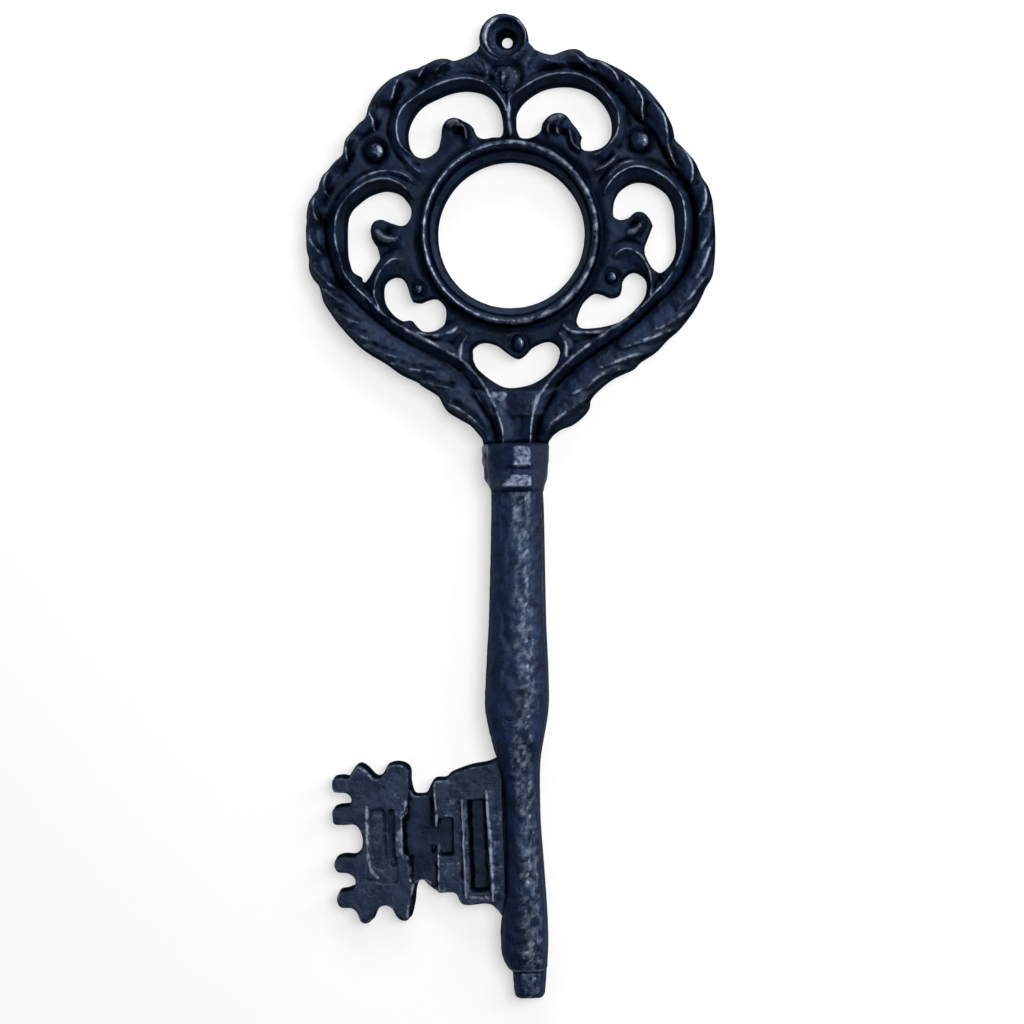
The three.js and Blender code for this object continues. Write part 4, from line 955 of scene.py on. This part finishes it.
narrowing = [0, 0.6, 4.4, 6, 8.6, 9.6, 10.8, 12.2]
sections = []
for down in np.arange(STATIONS) * COLLAR_LENGTH / (STATIONS - 1):
    left = read_off(down, narrowing, [7.9, 8.6, 8.65, 8.35, 8.2, 7.8, 6.95, 6.6])
    right = read_off(down, narrowing, [7.5, 8.15, 7.95, 7.7, 7.5, 7.2, 6.7, 6.4])
    sink = read_off(
        down, [0, 0.5, 1.0, 5.4, 5.9, 6.5, 7.3, 8.2, 10.7, 11.1, 11.7, 12.2],
        [1.4, 0.4, 0, 0, 0.35, 0.85, 0.85, 0.1, 0.1, 0.6, 1.6, 2.4],
    )
    facet = read_off(down, [6.0, 8.2, 9.2, 10.2], [0, 0, 1.3, 2.3])  # the lower facet widens to the left
    top = COLLAR_HEIGHT - sink
    section = np.array([
        (right - 0.3, 0), (right, 0.3), (right, 5.6), (right - 0.35, 6.8), (right - 1.7, 9.3 - sink * 0.3),
        (4.4, top - 0.55), (3.9, top - 0.1), (1.6, top + 0.02), (-0.4 - facet, top),
        (-0.9 - facet, top - 0.2), (-3.3 - facet * 0.4, 11.1 - sink * 0.3),
        (-left + 2.4, 9.5 - sink * 0.3), (-left + 0.4, 6.9), (-left, 5.7), (-left, 0.3), (-left + 0.3, 0),
    ])
    run = np.concatenate([[0], np.cumsum(np.hypot(*np.diff(section, axis=0).T))])
    parts = [run[:-1] + np.diff(run) * part / PARTS for part in range(1, PARTS)]
    sections.append([
        (read_off(t, run, section[:, 0]), COLLAR_TOP - down, read_off(t, run, section[:, 1]))
        for t in np.sort(np.concatenate([run, *parts]))
    ])
collar = lofted(sections)
bmesh.ops.smooth_vert(
    collar, verts=[v for v in collar.verts if v.co.z > 6 and 3.6 < v.co.y < 15.5], factor=0.5,
    use_axis_x=True, use_axis_y=True, use_axis_z=True,
)


def collar_wear_and_highlight(place):
    """Painted highlights with some wear: the two facets of the front with their lower lips, and the sides
    above the walls, the left side more than the right.
    """
    down = COLLAR_TOP - place.y
    patchy = 0.88 + 0.5 * noise.noise(place * 0.9) + 0.4 * noise.noise(place * 2.3)
    front = ease((place.z - 11.35) / 0.75)
    middle, reach = (3.2, 2.5) if down < BAND_END else (9.5, 1.6)
    corner = (max(place.x - 1.2, 0) / 2.8) ** 4 + (abs(min(down - middle, 0.5)) / reach) ** 4
    front *= ease((1.25 - corner) / 0.4)
    if down < BAND_END:
        front *= 0.4 * ease((place.x + 1.3) / 0.9) + 0.6 * ease((place.x + 0.7) / 1.2)
    lip = math.exp(-(((down - 5.3) / 0.25) ** 2)) + math.exp(-(((down - 10.7) / 0.3) ** 2))
    side = ease((abs(place.x + 0.2) - 5.9) / 1.2) * (1 + waves(place.x * 1.5, place.y * 0.3, 4))
    side *= 0.55 if place.x < 0 else 0.1 + 0.35 * ease((down - 6.5) / 3)
    front *= patchy * (0.6 + 0.35 * lip + 0.06 * (down > BAND_END))
    return max(front, side * ease((place.z - 4) / 2), 0.0)


worn_and_lit(collar, collar_wear_and_highlight)
# the collar's finish, whose bright colour is painted highlight on the facets and sides as well as wear
dressed_and_lit = iron(
    "dressed iron", Black=(0.002, 0.006, 0.024, 1), Tint=(0.007, 0.018, 0.06, 1),
    Rubbed=(0.27, 0.32, 0.44, 1), Rubbing=1.0, Breakup=0.4,
)
finished(
    "collar", cast(collar, 0.14, 1.6, 0), dressed_and_lit, "rubbed_iron", "collar_band", "collar_foot",
    sharp=80, shade=0.25, crease=0.6,
)


# Shank: a slightly bellied bar with a flat back, short upright walls and a rounded front, which
# narrows beside the bit and ends in a stepped pin. The front is uneven, and along the middle it carries
# wear with a painted highlight and painted glints.

ARCH = 44  # places round the front of a section


def arched(left, right, wall, deep):
    """A shank section: flat back, upright walls and a rounded front."""
    points = [(right - 0.3, 0.0), (right, 0.3), (right + 0.03, wall * 0.6)]
    for turn in np.linspace(0, np.pi, ARCH):
        c, s = np.cos(turn), np.sin(turn)
        x = abs(c) ** 0.76 * (right if c > 0 else -left)
        points.append((x, wall + (deep - wall) * s**0.74))
    return points + [(-left - 0.03, wall * 0.6), (-left, 0.3), (-left + 0.3, 0.0)]


# Shank sections: place along the key, reach to the left and right, height of the wall, full height
shank_marks = np.array([
    (3.8, 6.55, 6.2, 5.2, 9.9), (0, 6.65, 6.4, 5.2, 9.9), (-10.7, 7.1, 6.35, 5.3, 10.0),
    (-20.7, 7.6, 6.25, 5.4, 10.2), (-30.7, 8.15, 6.2, 5.4, 10.4), (-40.7, 9.0, 6.45, 5.5, 10.8),
    (-50.7, 9.75, 6.45, 5.5, 11.0), (-55.7, 8.95, 5.7, 5.5, 10.8), (-60.7, 7.9, 4.6, 5.4, 10.2),
    (-65, 6.6, 3.75, 5.2, 9.7), (-70, 5.4, 3.5, 4.4, 9.4), (-80.7, 5.3, 3.4, 4.2, 9.2),
    (-90, 5.3, 3.9, 4.2, 9.2), (-97, 5.5, 4.25, 4.3, 9.2), (-103, 6.6, 4.5, 4.8, 9.1),
    (-106, 7.25, 4.6, 5.0, 9.0), (-111, 7.25, 4.6, 4.9, 8.9), (-113.6, 7.0, 4.45, 4.8, 8.7),
    (-115.2, 6.5, 4.35, 4.6, 8.4), (-116.8, 5.7, 4.2, 4.4, 8.0), (-117.5, 5.0, 4.15, 4.2, 7.7),
    (-117.9, 4.55, 4.0, 4.0, 7.0), (-120, 4.4, 3.85, 3.8, 6.9), (-122.5, 4.25, 3.6, 3.7, 6.7),
    (-124, 4.05, 3.4, 3.5, 6.3), (-124.6, 3.8, 3.2, 3.4, 5.9), (-124.9, 3.3, 2.8, 3.2, 5.2),
])
PIN_SHOULDER = -117.3
along = np.array([*np.arange(3.8, -113, -0.7), *np.arange(-113, -124.8, -0.25), -124.9])
sizes = np.array([np.interp(-along, -shank_marks[:, 0], shank_marks[:, k]) for k in range(1, 5)])
soft = np.hanning(15)[1:-1] / np.hanning(15).sum()
eased = np.array([np.convolve(np.pad(size, 6, mode="edge"), soft, "valid") for size in sizes])
sizes = np.where(along > -112, eased, sizes)  # the belly is soft, the pin keeps its step
shank = lofted([[(x, y, z) for x, z in arched(*size)] for y, size in zip(along, sizes.T)])
for v in shank.verts:
    x, y = v.co.x, v.co.y
    bruise = waves(x * 0.3, y * 0.16, 2) + 0.8 * waves(x * 0.7, y * 0.6, 9)
    bruise += 0.4 * waves(x * 1.5, y * 1.2, 4)
    v.co.z += 0.42 * ease((v.co.z - 4) / 5) * bruise


def shank_wear_and_highlight(place):
    """Painted highlight with some wear in blotches along the middle, painted glints as bright flecks, a
    painted highlight line on the right edge, and one on the step of the pin.
    """
    x, y, z = place
    blotch = waves(x * 0.8, y * 0.5, 6) + 0.7 * waves(x * 2, y * 1.6, 1)
    middle = read_off(-y, [0, 30, 50, 62, 80, 104, 118], [1.2, 1.0, 1.2, -0.6, 0.6, 1.0, 0.6])
    ridge = math.exp(-(((x - middle) / 3.4) ** 4)) * ease((z - 5) / 2)
    fleck = ease((waves(x * 2, y * 1.1, 8) - 0.4) / 0.1) * math.exp(-(((x - middle) / 2.2) ** 2))
    edge = read_off(-y, -along, sizes[1]) - x
    shoulder = math.exp(-(((edge - 0.3) / 0.22) ** 2)) * ease((z - 4) / 0.5) * 0.6
    step = math.exp(-(((y - PIN_SHOULDER) / 0.35) ** 2)) * ease((z - 5.5) / 1)
    return max(ridge * (0.46 + 0.36 * blotch), 1.2 * fleck, shoulder, 0.7 * step, 0.0)


worn_and_lit(shank, shank_wear_and_highlight)
navy = iron(
    "navy iron", Black=(0.002, 0.0055, 0.02, 1), Tint=(0.0085, 0.021, 0.066, 1),
    Rubbed=(0.2, 0.248, 0.335, 1), Breakup=0.7,
)
finished(
    "shank", cast(shank, 0.1, 1.6, 0), navy, "blackened_iron", "shank_swell", "shank_stem", "tip_pin",
    sharp=60, shade=0.6,
)


# Bit: a flat web cast on the side of the shank, cut with teeth and spurs. Raised blocks carry a
# panel, a T-shaped pocket and a long slot, all with drafted sides and uneven edges.

bit_edge = drawn([
    (-6.4, -133.2), (-9.3, -134.5), (-13.6, -135.2), (-18.4, -136.8), (-20.2, -138.2), (-22.9, -138.4),
    (-24.3, -140.3), (-25.2, -142), (-27, -142.3), (-28.6, -141.8), (-29.4, -139), (-29.6, -135.4),
    (-31.8, -134), (-34.6, -134.4), (-36.4, -137), (-38.2, -137.2), (-40.4, -134.9), (-42.2, -134.1),
    (-43.8, -135.6), (-44.8, -137.2), (-46.6, -137), (-48.6, -137.4), (-49, -139), (-48.4, -140.7),
    (-45.4, -141.1), (-44.2, -142.6), (-44.8, -144.2), (-47.4, -144.5), (-48.9, -145.2), (-49.1, -147),
    (-48.6, -148.8), (-46, -149.1), (-43.4, -149.2), (-42, -151), (-41.6, -153.6), (-42.2, -155.8),
    (-43.8, -157.2), (-46.6, -157.1), (-48.5, -157.8), (-48.9, -159.4), (-48.1, -161), (-45.6, -161.4),
    (-43.9, -162.6), (-43.9, -164.8), (-45.8, -165.8), (-47.8, -166.2), (-48.5, -168), (-47.6, -169.9),
    (-44.8, -170.3), (-43.4, -171.6), (-42.6, -173.6), (-41.2, -174.2), (-39.8, -173.4), (-38.6, -171),
    (-36.6, -169.8), (-34.6, -170.6), (-33.4, -172.8), (-31.9, -173.8), (-30.3, -173.2), (-29.3, -169.6),
    (-28.8, -166), (-28, -164.2), (-26.6, -163.8), (-25.4, -165), (-22.9, -166.7), (-18.6, -167),
    (-17.2, -169.4), (-15.4, -170.2), (-10.2, -170), (-7.9, -171.6), (-6.4, -173.8),
], 0.45)
bit_edge = np.vstack([bit_edge, [(-4.5, -173.8), (-4.5, -133.2)]])


def outline(corners):
    """Straight-sided field as places half a millimetre apart, a little uneven."""
    line = []
    for a, b in zip(corners, corners[1:] + corners[:1]):
        steps = max(1, int(math.dist(a, b) / 0.5))
        line += [(a[0] + (b[0] - a[0]) * i / steps, a[1] + (b[1] - a[1]) * i / steps) for i in range(steps)]
    line = np.array(line)
    line = (2 * line + np.roll(line, 1, 0) + np.roll(line, -1, 0)) / 4
    return line + 0.22 * np.column_stack([lumpy(line, 2.6, 3), lumpy(line, 2.6, 14)])


# Fields of the bit in the order they are cut: raised (+1) or sunk (-1), height, fall to the right over
# each millimetre, width of the sloping side, and corners
fields = [
    (1, 5.3, 0, 0.5, [
        (-49.8, -133), (-29.2, -133), (-29.9, -142.6), (-30.3, -147.1), (-31.2, -147.6), (-31.3, -157.2),
        (-30.3, -157.4), (-29.7, -163.6), (-28.8, -164.5), (-30.5, -170.7), (-30.4, -176), (-49.8, -175),
    ]),
    (1, 5.4, 0, 0.5, [
        (-23.6, -137.2), (-23.2, -143.4), (-22.9, -150), (-22.4, -150.4), (-22.4, -154), (-22.6, -155),
        (-22.8, -167.6), (-5.2, -175), (-5.2, -132),
    ]),
    (-1, 2.7, 0, 0.5, [(-24.5, -142.8), (-23.9, -142.9), (-23.7, -150.1), (-24.5, -150.2)]),
    (-1, 2.7, 0, 0.5, [(-24.5, -155), (-23.2, -154.7), (-23.3, -156.4), (-24, -157.2)]),
    (-1, 3.1, 0, 0.4, [
        (-30.1, -158.1), (-29.2, -157.2), (-29.1, -160), (-29.3, -163.2), (-29.5, -163.2), (-29.7, -160),
    ]),
    (-1, 2.9, 0, 0.4, [(-30.2, -145), (-29.8, -145), (-29.8, -148.6), (-30.8, -148.6)]),
    (-1, 3.6, 0, 0.45, [
        (-24.8, -150.6), (-22.1, -150.5), (-22, -148), (-18.6, -147.9), (-18.6, -157.2), (-22.2, -157.3),
        (-22.3, -154.3), (-24.6, -154.4),
    ]),
    (1, 5.7, 0, 0.4, [(-22.6, -159.6), (-17.4, -159.5), (-17, -168), (-22.7, -167)]),
    (1, 6.4, 0, 0.7, [(-16.2, -143.2), (-15.9, -143.2), (-15.5, -168.3), (-15.9, -168.3)]),
    (1, 5.35, 0.42, 0.6, [(-10.1, -141.6), (-5.6, -141.6), (-5.3, -169.6), (-9.1, -169.6)]),
    (-1, 3.4, 0, 0.9, [
        (-14.1, -143.7), (-10.6, -143.5), (-10.4, -155.4), (-10.1, -166.3), (-13.7, -166.5), (-14, -155),
    ]),
    (-1, 4.2, 0, 0.5, [(-5.7, -136), (-5, -136), (-5, -168), (-5.6, -168)]),
    (-1, 4.95, 0, 0.25, [(-40.6, -158), (-33, -158), (-33, -164.1), (-36, -164.2), (-40.8, -163.3)]),
    (-1, 4.85, 0, 3.5, [(-39.5, -145.6), (-36, -145.4), (-35.8, -160.2), (-38, -160.4), (-39.2, -158.8)]),
    (-1, 4.35, 0, 0.7, [(-34.7, -145.6), (-33.5, -145.4), (-33.4, -159.8), (-34.5, -160)]),
    (1, 5.9, 0, 0.35, [(-33.1, -147), (-31.5, -147.1), (-31.6, -157.4), (-33.2, -157.5)]),
]

# Where the arrises of the bit are rubbed and lit with a painted highlight: how far, half width, and path
bit_wear_and_highlights = [
    (0.95, 0.45, [
        (-40.3, -144.7), (-40.4, -148.8), (-40.4, -153.4), (-40.2, -157.1), (-40, -159.2), (-39.3, -161.1),
        (-38, -162.5),
    ]),
    (0.4, 0.25, [
        (-40.8, -163.1), (-37.7, -163.9), (-34.8, -164.3), (-33.1, -164.2), (-32.8, -162.7),
        (-32.8, -161.1),
    ]),
    (0.35, 0.2, [(-40, -144.4), (-37, -144.3), (-34.8, -144.4)]),
    (0.9, 0.3, [(-31.5, -148.3), (-31.5, -152), (-31.4, -155.3), (-31.4, -157.6)]),
    (1.0, 0.4, [(-30.4, -143.5), (-30.5, -145.4), (-30.7, -147), (-31.4, -147.4)]),
    (0.9, 0.35, [(-30.4, -157.6), (-30, -159.5), (-29.8, -162), (-29.7, -163.6)]),
    (0.8, 0.35, [(-28.8, -164.5), (-29.5, -166.6), (-30.1, -168.6), (-30.5, -170.7), (-30.7, -172.7)]),
    (0.8, 0.35, [(-29, -164.6), (-27.9, -163.9), (-26.5, -163.6), (-24.6, -164.5)]),
    (0.6, 0.35, [(-41.7, -134.8), (-40.2, -135.8), (-39.3, -137.3), (-37.8, -138.1)]),
    (0.6, 0.3, [(-29.4, -135.6), (-29.3, -138.2), (-29.6, -141)]),
    (0.75, 0.35, [(-22.9, -139.4), (-23, -141.4), (-22.9, -143.9), (-22.7, -146)]),
    (1.0, 0.4, [(-22.6, -147.2), (-22.8, -148.5), (-23, -149.8)]),
    (0.5, 0.25, [(-22.6, -147.5), (-21.1, -147.3), (-19.4, -147.3), (-18.4, -147.4)]),
    (0.85, 0.4, [
        (-22.4, -154.9), (-22.5, -157.2), (-22.6, -159.7), (-22.5, -162.2), (-22.7, -164.7),
        (-22.6, -166.3),
    ]),
    (0.45, 0.25, [(-22.4, -159.5), (-19.7, -159.4), (-17.2, -159.4)]),
    (1.3, 0.42, [
        (-16.1, -143.6), (-16.0, -148.3), (-15.95, -152.4), (-15.9, -156.6), (-15.8, -160.7),
        (-15.7, -164.9), (-15.6, -168),
    ]),
    (0.8, 0.5, [
        (-9.9, -141.6), (-9.7, -145.5), (-9.5, -148.8), (-9.2, -152.6), (-9.1, -156.7), (-9, -160.9),
        (-8.9, -165), (-8.9, -169),
    ]),
    (0.6, 0.6, [(-14.9, -168), (-12.5, -168.4), (-9.6, -168.2)]),
    (0.6, 0.35, [(-25.8, -164.2), (-24.7, -165.6), (-21.2, -166.4), (-18.7, -166.8)]),
]

# Faces of the bit that are scuffed all over and lit with a painted sheen: how far, and corners
scuffed_and_lit = [
    (0.4, [(-34, -140.9), (-30.9, -142.5), (-31.1, -147), (-33.9, -146.9)]),
    (0.42, [(-33.1, -147), (-31.4, -147.1), (-31.5, -157.4), (-33.2, -157.5)]),
    (0.36, [(-9.8, -139), (-5.9, -139), (-5.7, -147.7), (-5.6, -157.7), (-6.4, -168.4), (-8.8, -169.4)]),
    (0.42, [(-15.2, -167), (-9.4, -167), (-9.4, -169.6), (-15.6, -169.6)]),
    (0.3, [(-22.4, -138.5), (-17, -137), (-17, -147), (-22.4, -147)]),
    (0.34, [(-22.4, -159.6), (-17.2, -159.5), (-17, -166.6), (-22.7, -166.2)]),
    (0.36, [(-16.9, -144), (-14.9, -144), (-14.6, -168), (-16.6, -168)]),
    (0.3, [(-39.8, -145), (-35, -145), (-35, -160.8), (-38, -161), (-39.8, -158.9)]),
    (0.22, [(-14.3, -143.6), (-10.4, -143.4), (-10, -166.4), (-13.9, -166.6)]),
]


WEB, BLOCK_FOOT, DEEPEST_DROP = 3.7, 3.4, 2.4  # height of the web, foot of the blocks, depth of a sunk side
INTO_SHANK = -5.9  # the web runs on under the shank from here
UP_RIGHT = (0.6, 0.8)  # the way that the softer sides of a field face
field_lines = [(*cut, outline(corners)) for *cut, corners in fields]


def bit_relief(places):
    """Height of the bit at each place, and its wear with painted highlights."""
    edge = beside(places, closed(bit_edge), 4)[0]
    edge = np.where(places[:, 0] > INTO_SHANK, 4, edge)
    # wear with a painted highlight along the outer edge of the bit
    z, wear_and_highlight = np.full(len(places), WEB), 0.5 * np.exp(-(((edge - 0.35) / 0.3) ** 2))
    for way, height, fall, slope, line in field_lines:
        gap, _, near = beside(places, closed(line), 4)
        out = np.where(inside(places, [line]), 0, gap)
        here = height - fall * (places[:, 0] - line[:, 0].mean())
        steep = way * ((places - near[:, :2]) @ UP_RIGHT) < 0  # the sides that face down and to the left
        draft = np.where(steep & (slope < 2), 0.4 * slope, slope)
        if way > 0:
            z = np.maximum(z, np.where(out > draft, 0, here - (out / draft) * (here - BLOCK_FOOT)))
        else:
            z = np.minimum(z, np.where(out > draft, 9, here + (out / draft) * DEEPEST_DROP))
    for how_far, corners in scuffed_and_lit:
        wear_and_highlight = np.maximum(wear_and_highlight, how_far * inside(places, [outline(corners)]))
    patchy = np.clip(0.8 + 1.0 * lumpy(places, 2.8, 12) + 0.6 * lumpy(places, 0.9, 13), 0.2, 1.3)
    wear_and_highlight = wear_and_highlight * patchy
    for how_far, half, path in bit_wear_and_highlights:
        gap = beside(places, drawn(path), 3)[0] + 0.12 * lumpy(places, 0.9, 6)
        wear_and_highlight = np.maximum(wear_and_highlight, how_far * np.exp(-((gap / half) ** 2)) * np.clip(patchy + 0.25, 0, 1.1))
    z = z + 0.1 * lumpy(places, 3.2, 2) + 0.08 * lumpy(places, 1.5, 5) + 0.05 * lumpy(places, 0.7, 8)
    return z - rounded(edge, 0.6), wear_and_highlight


bit = carved([bit_edge], [closed(line) for *_, line in field_lines], bit_relief, 0.3)
dusty = iron("dusty iron", Rubbing=0.88, Black=(0.006, 0.0115, 0.029, 1), Tint=(0.024, 0.036, 0.072, 1))
finished(
    "bit", cast(bit, 0.05, 2), dusty, "blackened_iron", "bit_plate", "outer_ward", "inner_ward",
    "ward_panel", sharp=70, low=5.0,
)


# Studio: a plain white floor, soft lamps above, and the camera where the photograph was taken
# from, half a metre above and a little to the right. The picture leans by a degree and a half.

LEAN = math.radians(1.54)
EYE_POINT = Vector((0.031, 0.0005, 0.5))
AIM = Vector((-0.0015, -0.00165, 0.005))
FRAME_WIDTH, SENSOR = 0.2594, 36
FLOOR_REACH, FLOOR_DROP = 3, 0.0002
PAPER, FLOOR_GLOW, MIRRORED = 0.56, 0.52, 0.4  # the floor's grey, its own light, and its share in gloss
SKY = 0.03  # what the room beyond the floor gives to the key

floor_mesh = bpy.data.meshes.new("floor")
floor_bm = bmesh.new()
bmesh.ops.create_grid(floor_bm, x_segments=1, y_segments=1, size=FLOOR_REACH)
bmesh.ops.translate(floor_bm, verts=floor_bm.verts, vec=(0, 0, -FLOOR_DROP))
floor_bm.to_mesh(floor_mesh)
floor_bm.free()
floor = bpy.data.objects.new("floor", floor_mesh)
bpy.context.scene.collection.objects.link(floor)
paper = bpy.data.materials.new("white floor")
paper.use_nodes = True
tree = paper.node_tree
tree.nodes.clear()
sheet = node(tree, "ShaderNodeBsdfDiffuse", (0, 200), in_Color=(PAPER, PAPER, PAPER, 1))
glow = node(tree, "ShaderNodeEmission", (0, 0), in_Color=(1, 1, 1, 1))
ray = node(tree, "ShaderNodeLightPath", (-950, 0)).outputs
gloss = sum_of(tree, "ADD", ray["Is Glossy Ray"], ray["Is Transmission Ray"], (-750, 100), True)
gloss = sum_of(tree, "MULTIPLY", gloss, MIRRORED, (-600, 100))
seen = sum_of(tree, "ADD", ray["Is Camera Ray"], gloss, (-400, 150), True)
lift = sum_of(tree, "MULTIPLY", seen, FLOOR_GLOW, (-200, 0))

# far from the lamps the floor itself turns white, so that no edge of it shows
spot = node(tree, "ShaderNodeTexCoord", (-1150, -250)).outputs["Object"]
away = node(tree, "ShaderNodeVectorMath", (-950, -250), operation="LENGTH")
tree.links.new(spot, away.inputs[0])
far = ramp(tree, away.outputs["Value"], 0.3, 0.9, (-750, -250))
far = sum_of(tree, "MULTIPLY", far, 1 - FLOOR_GLOW, (-550, -250))
far = sum_of(tree, "MULTIPLY", far, ray["Is Camera Ray"], (-350, -200))
tree.links.new(sum_of(tree, "ADD", lift, far, (-100, -100)), glow.inputs["Strength"])
both = node(tree, "ShaderNodeAddShader", (200, 100))
tree.links.new(sheet.outputs[0], both.inputs[0])
tree.links.new(glow.outputs[0], both.inputs[1])
end = node(tree, "ShaderNodeOutputMaterial", (400, 100))
tree.links.new(both.outputs[0], end.inputs["Surface"])
floor_mesh.materials.append(paper)

world = bpy.data.worlds.new("studio")  # white where the camera looks past the floor, and hardly a light
world.use_nodes = True
sky = world.node_tree
beyond = sky.nodes["Background"].inputs
beyond["Color"].default_value = (1, 1, 1, 1)
looking = node(sky, "ShaderNodeLightPath", (-600, 0)).outputs["Is Camera Ray"]
sky.links.new(sum_of(sky, "MAXIMUM", looking, SKY, (-300, 0)), beyond["Strength"])
bpy.context.scene.world = world


def lamp(name, place, target, size, power):
    data = bpy.data.lights.new(name, "AREA")
    data.shape = "RECTANGLE"
    data.size, data.size_y = size
    data.energy = power
    made = bpy.data.objects.new(name, data)
    made.location = place
    made.rotation_euler = (Vector(target) - Vector(place)).to_track_quat("-Z", "Y").to_euler()
    bpy.context.scene.collection.objects.link(made)


lamp("softbox above the right hand", (0.3, 0.16, 0.78), (0, 0, 0), (0.5, 0.5), 5.6)
lamp("window on the right", (0.8, 0.3, 0.4), (0, 0.05, 0), (0.3, 0.5), 2.6)
lamp("window beyond the eye", (0.05, 0.9, 0.45), (0, 0.05, 0), (0.6, 0.3), 3.5)
lamp("fill on the left", (-0.6, -0.1, 0.6), (0, 0, 0), (0.4, 0.4), 0.4)

camera_data = bpy.data.cameras.new("camera")
camera = bpy.data.objects.new("camera", camera_data)
bpy.context.scene.collection.objects.link(camera)
camera.matrix_world = Matrix.Translation(EYE_POINT) @ Matrix.Rotation(-LEAN, 4, "Z")
off = Matrix.Rotation(LEAN, 2) @ (AIM - EYE_POINT).xy
camera_data.sensor_width = SENSOR
camera_data.lens = SENSOR * (EYE_POINT - AIM).z / FRAME_WIDTH
camera_data.shift_x, camera_data.shift_y = off / FRAME_WIDTH
camera_data.clip_start = 0.01
bpy.context.scene.camera = camera
bpy.context.scene.view_settings.view_transform = "Standard"


def corners(box):
    return [[float(x) for x in corner] for corner in box]
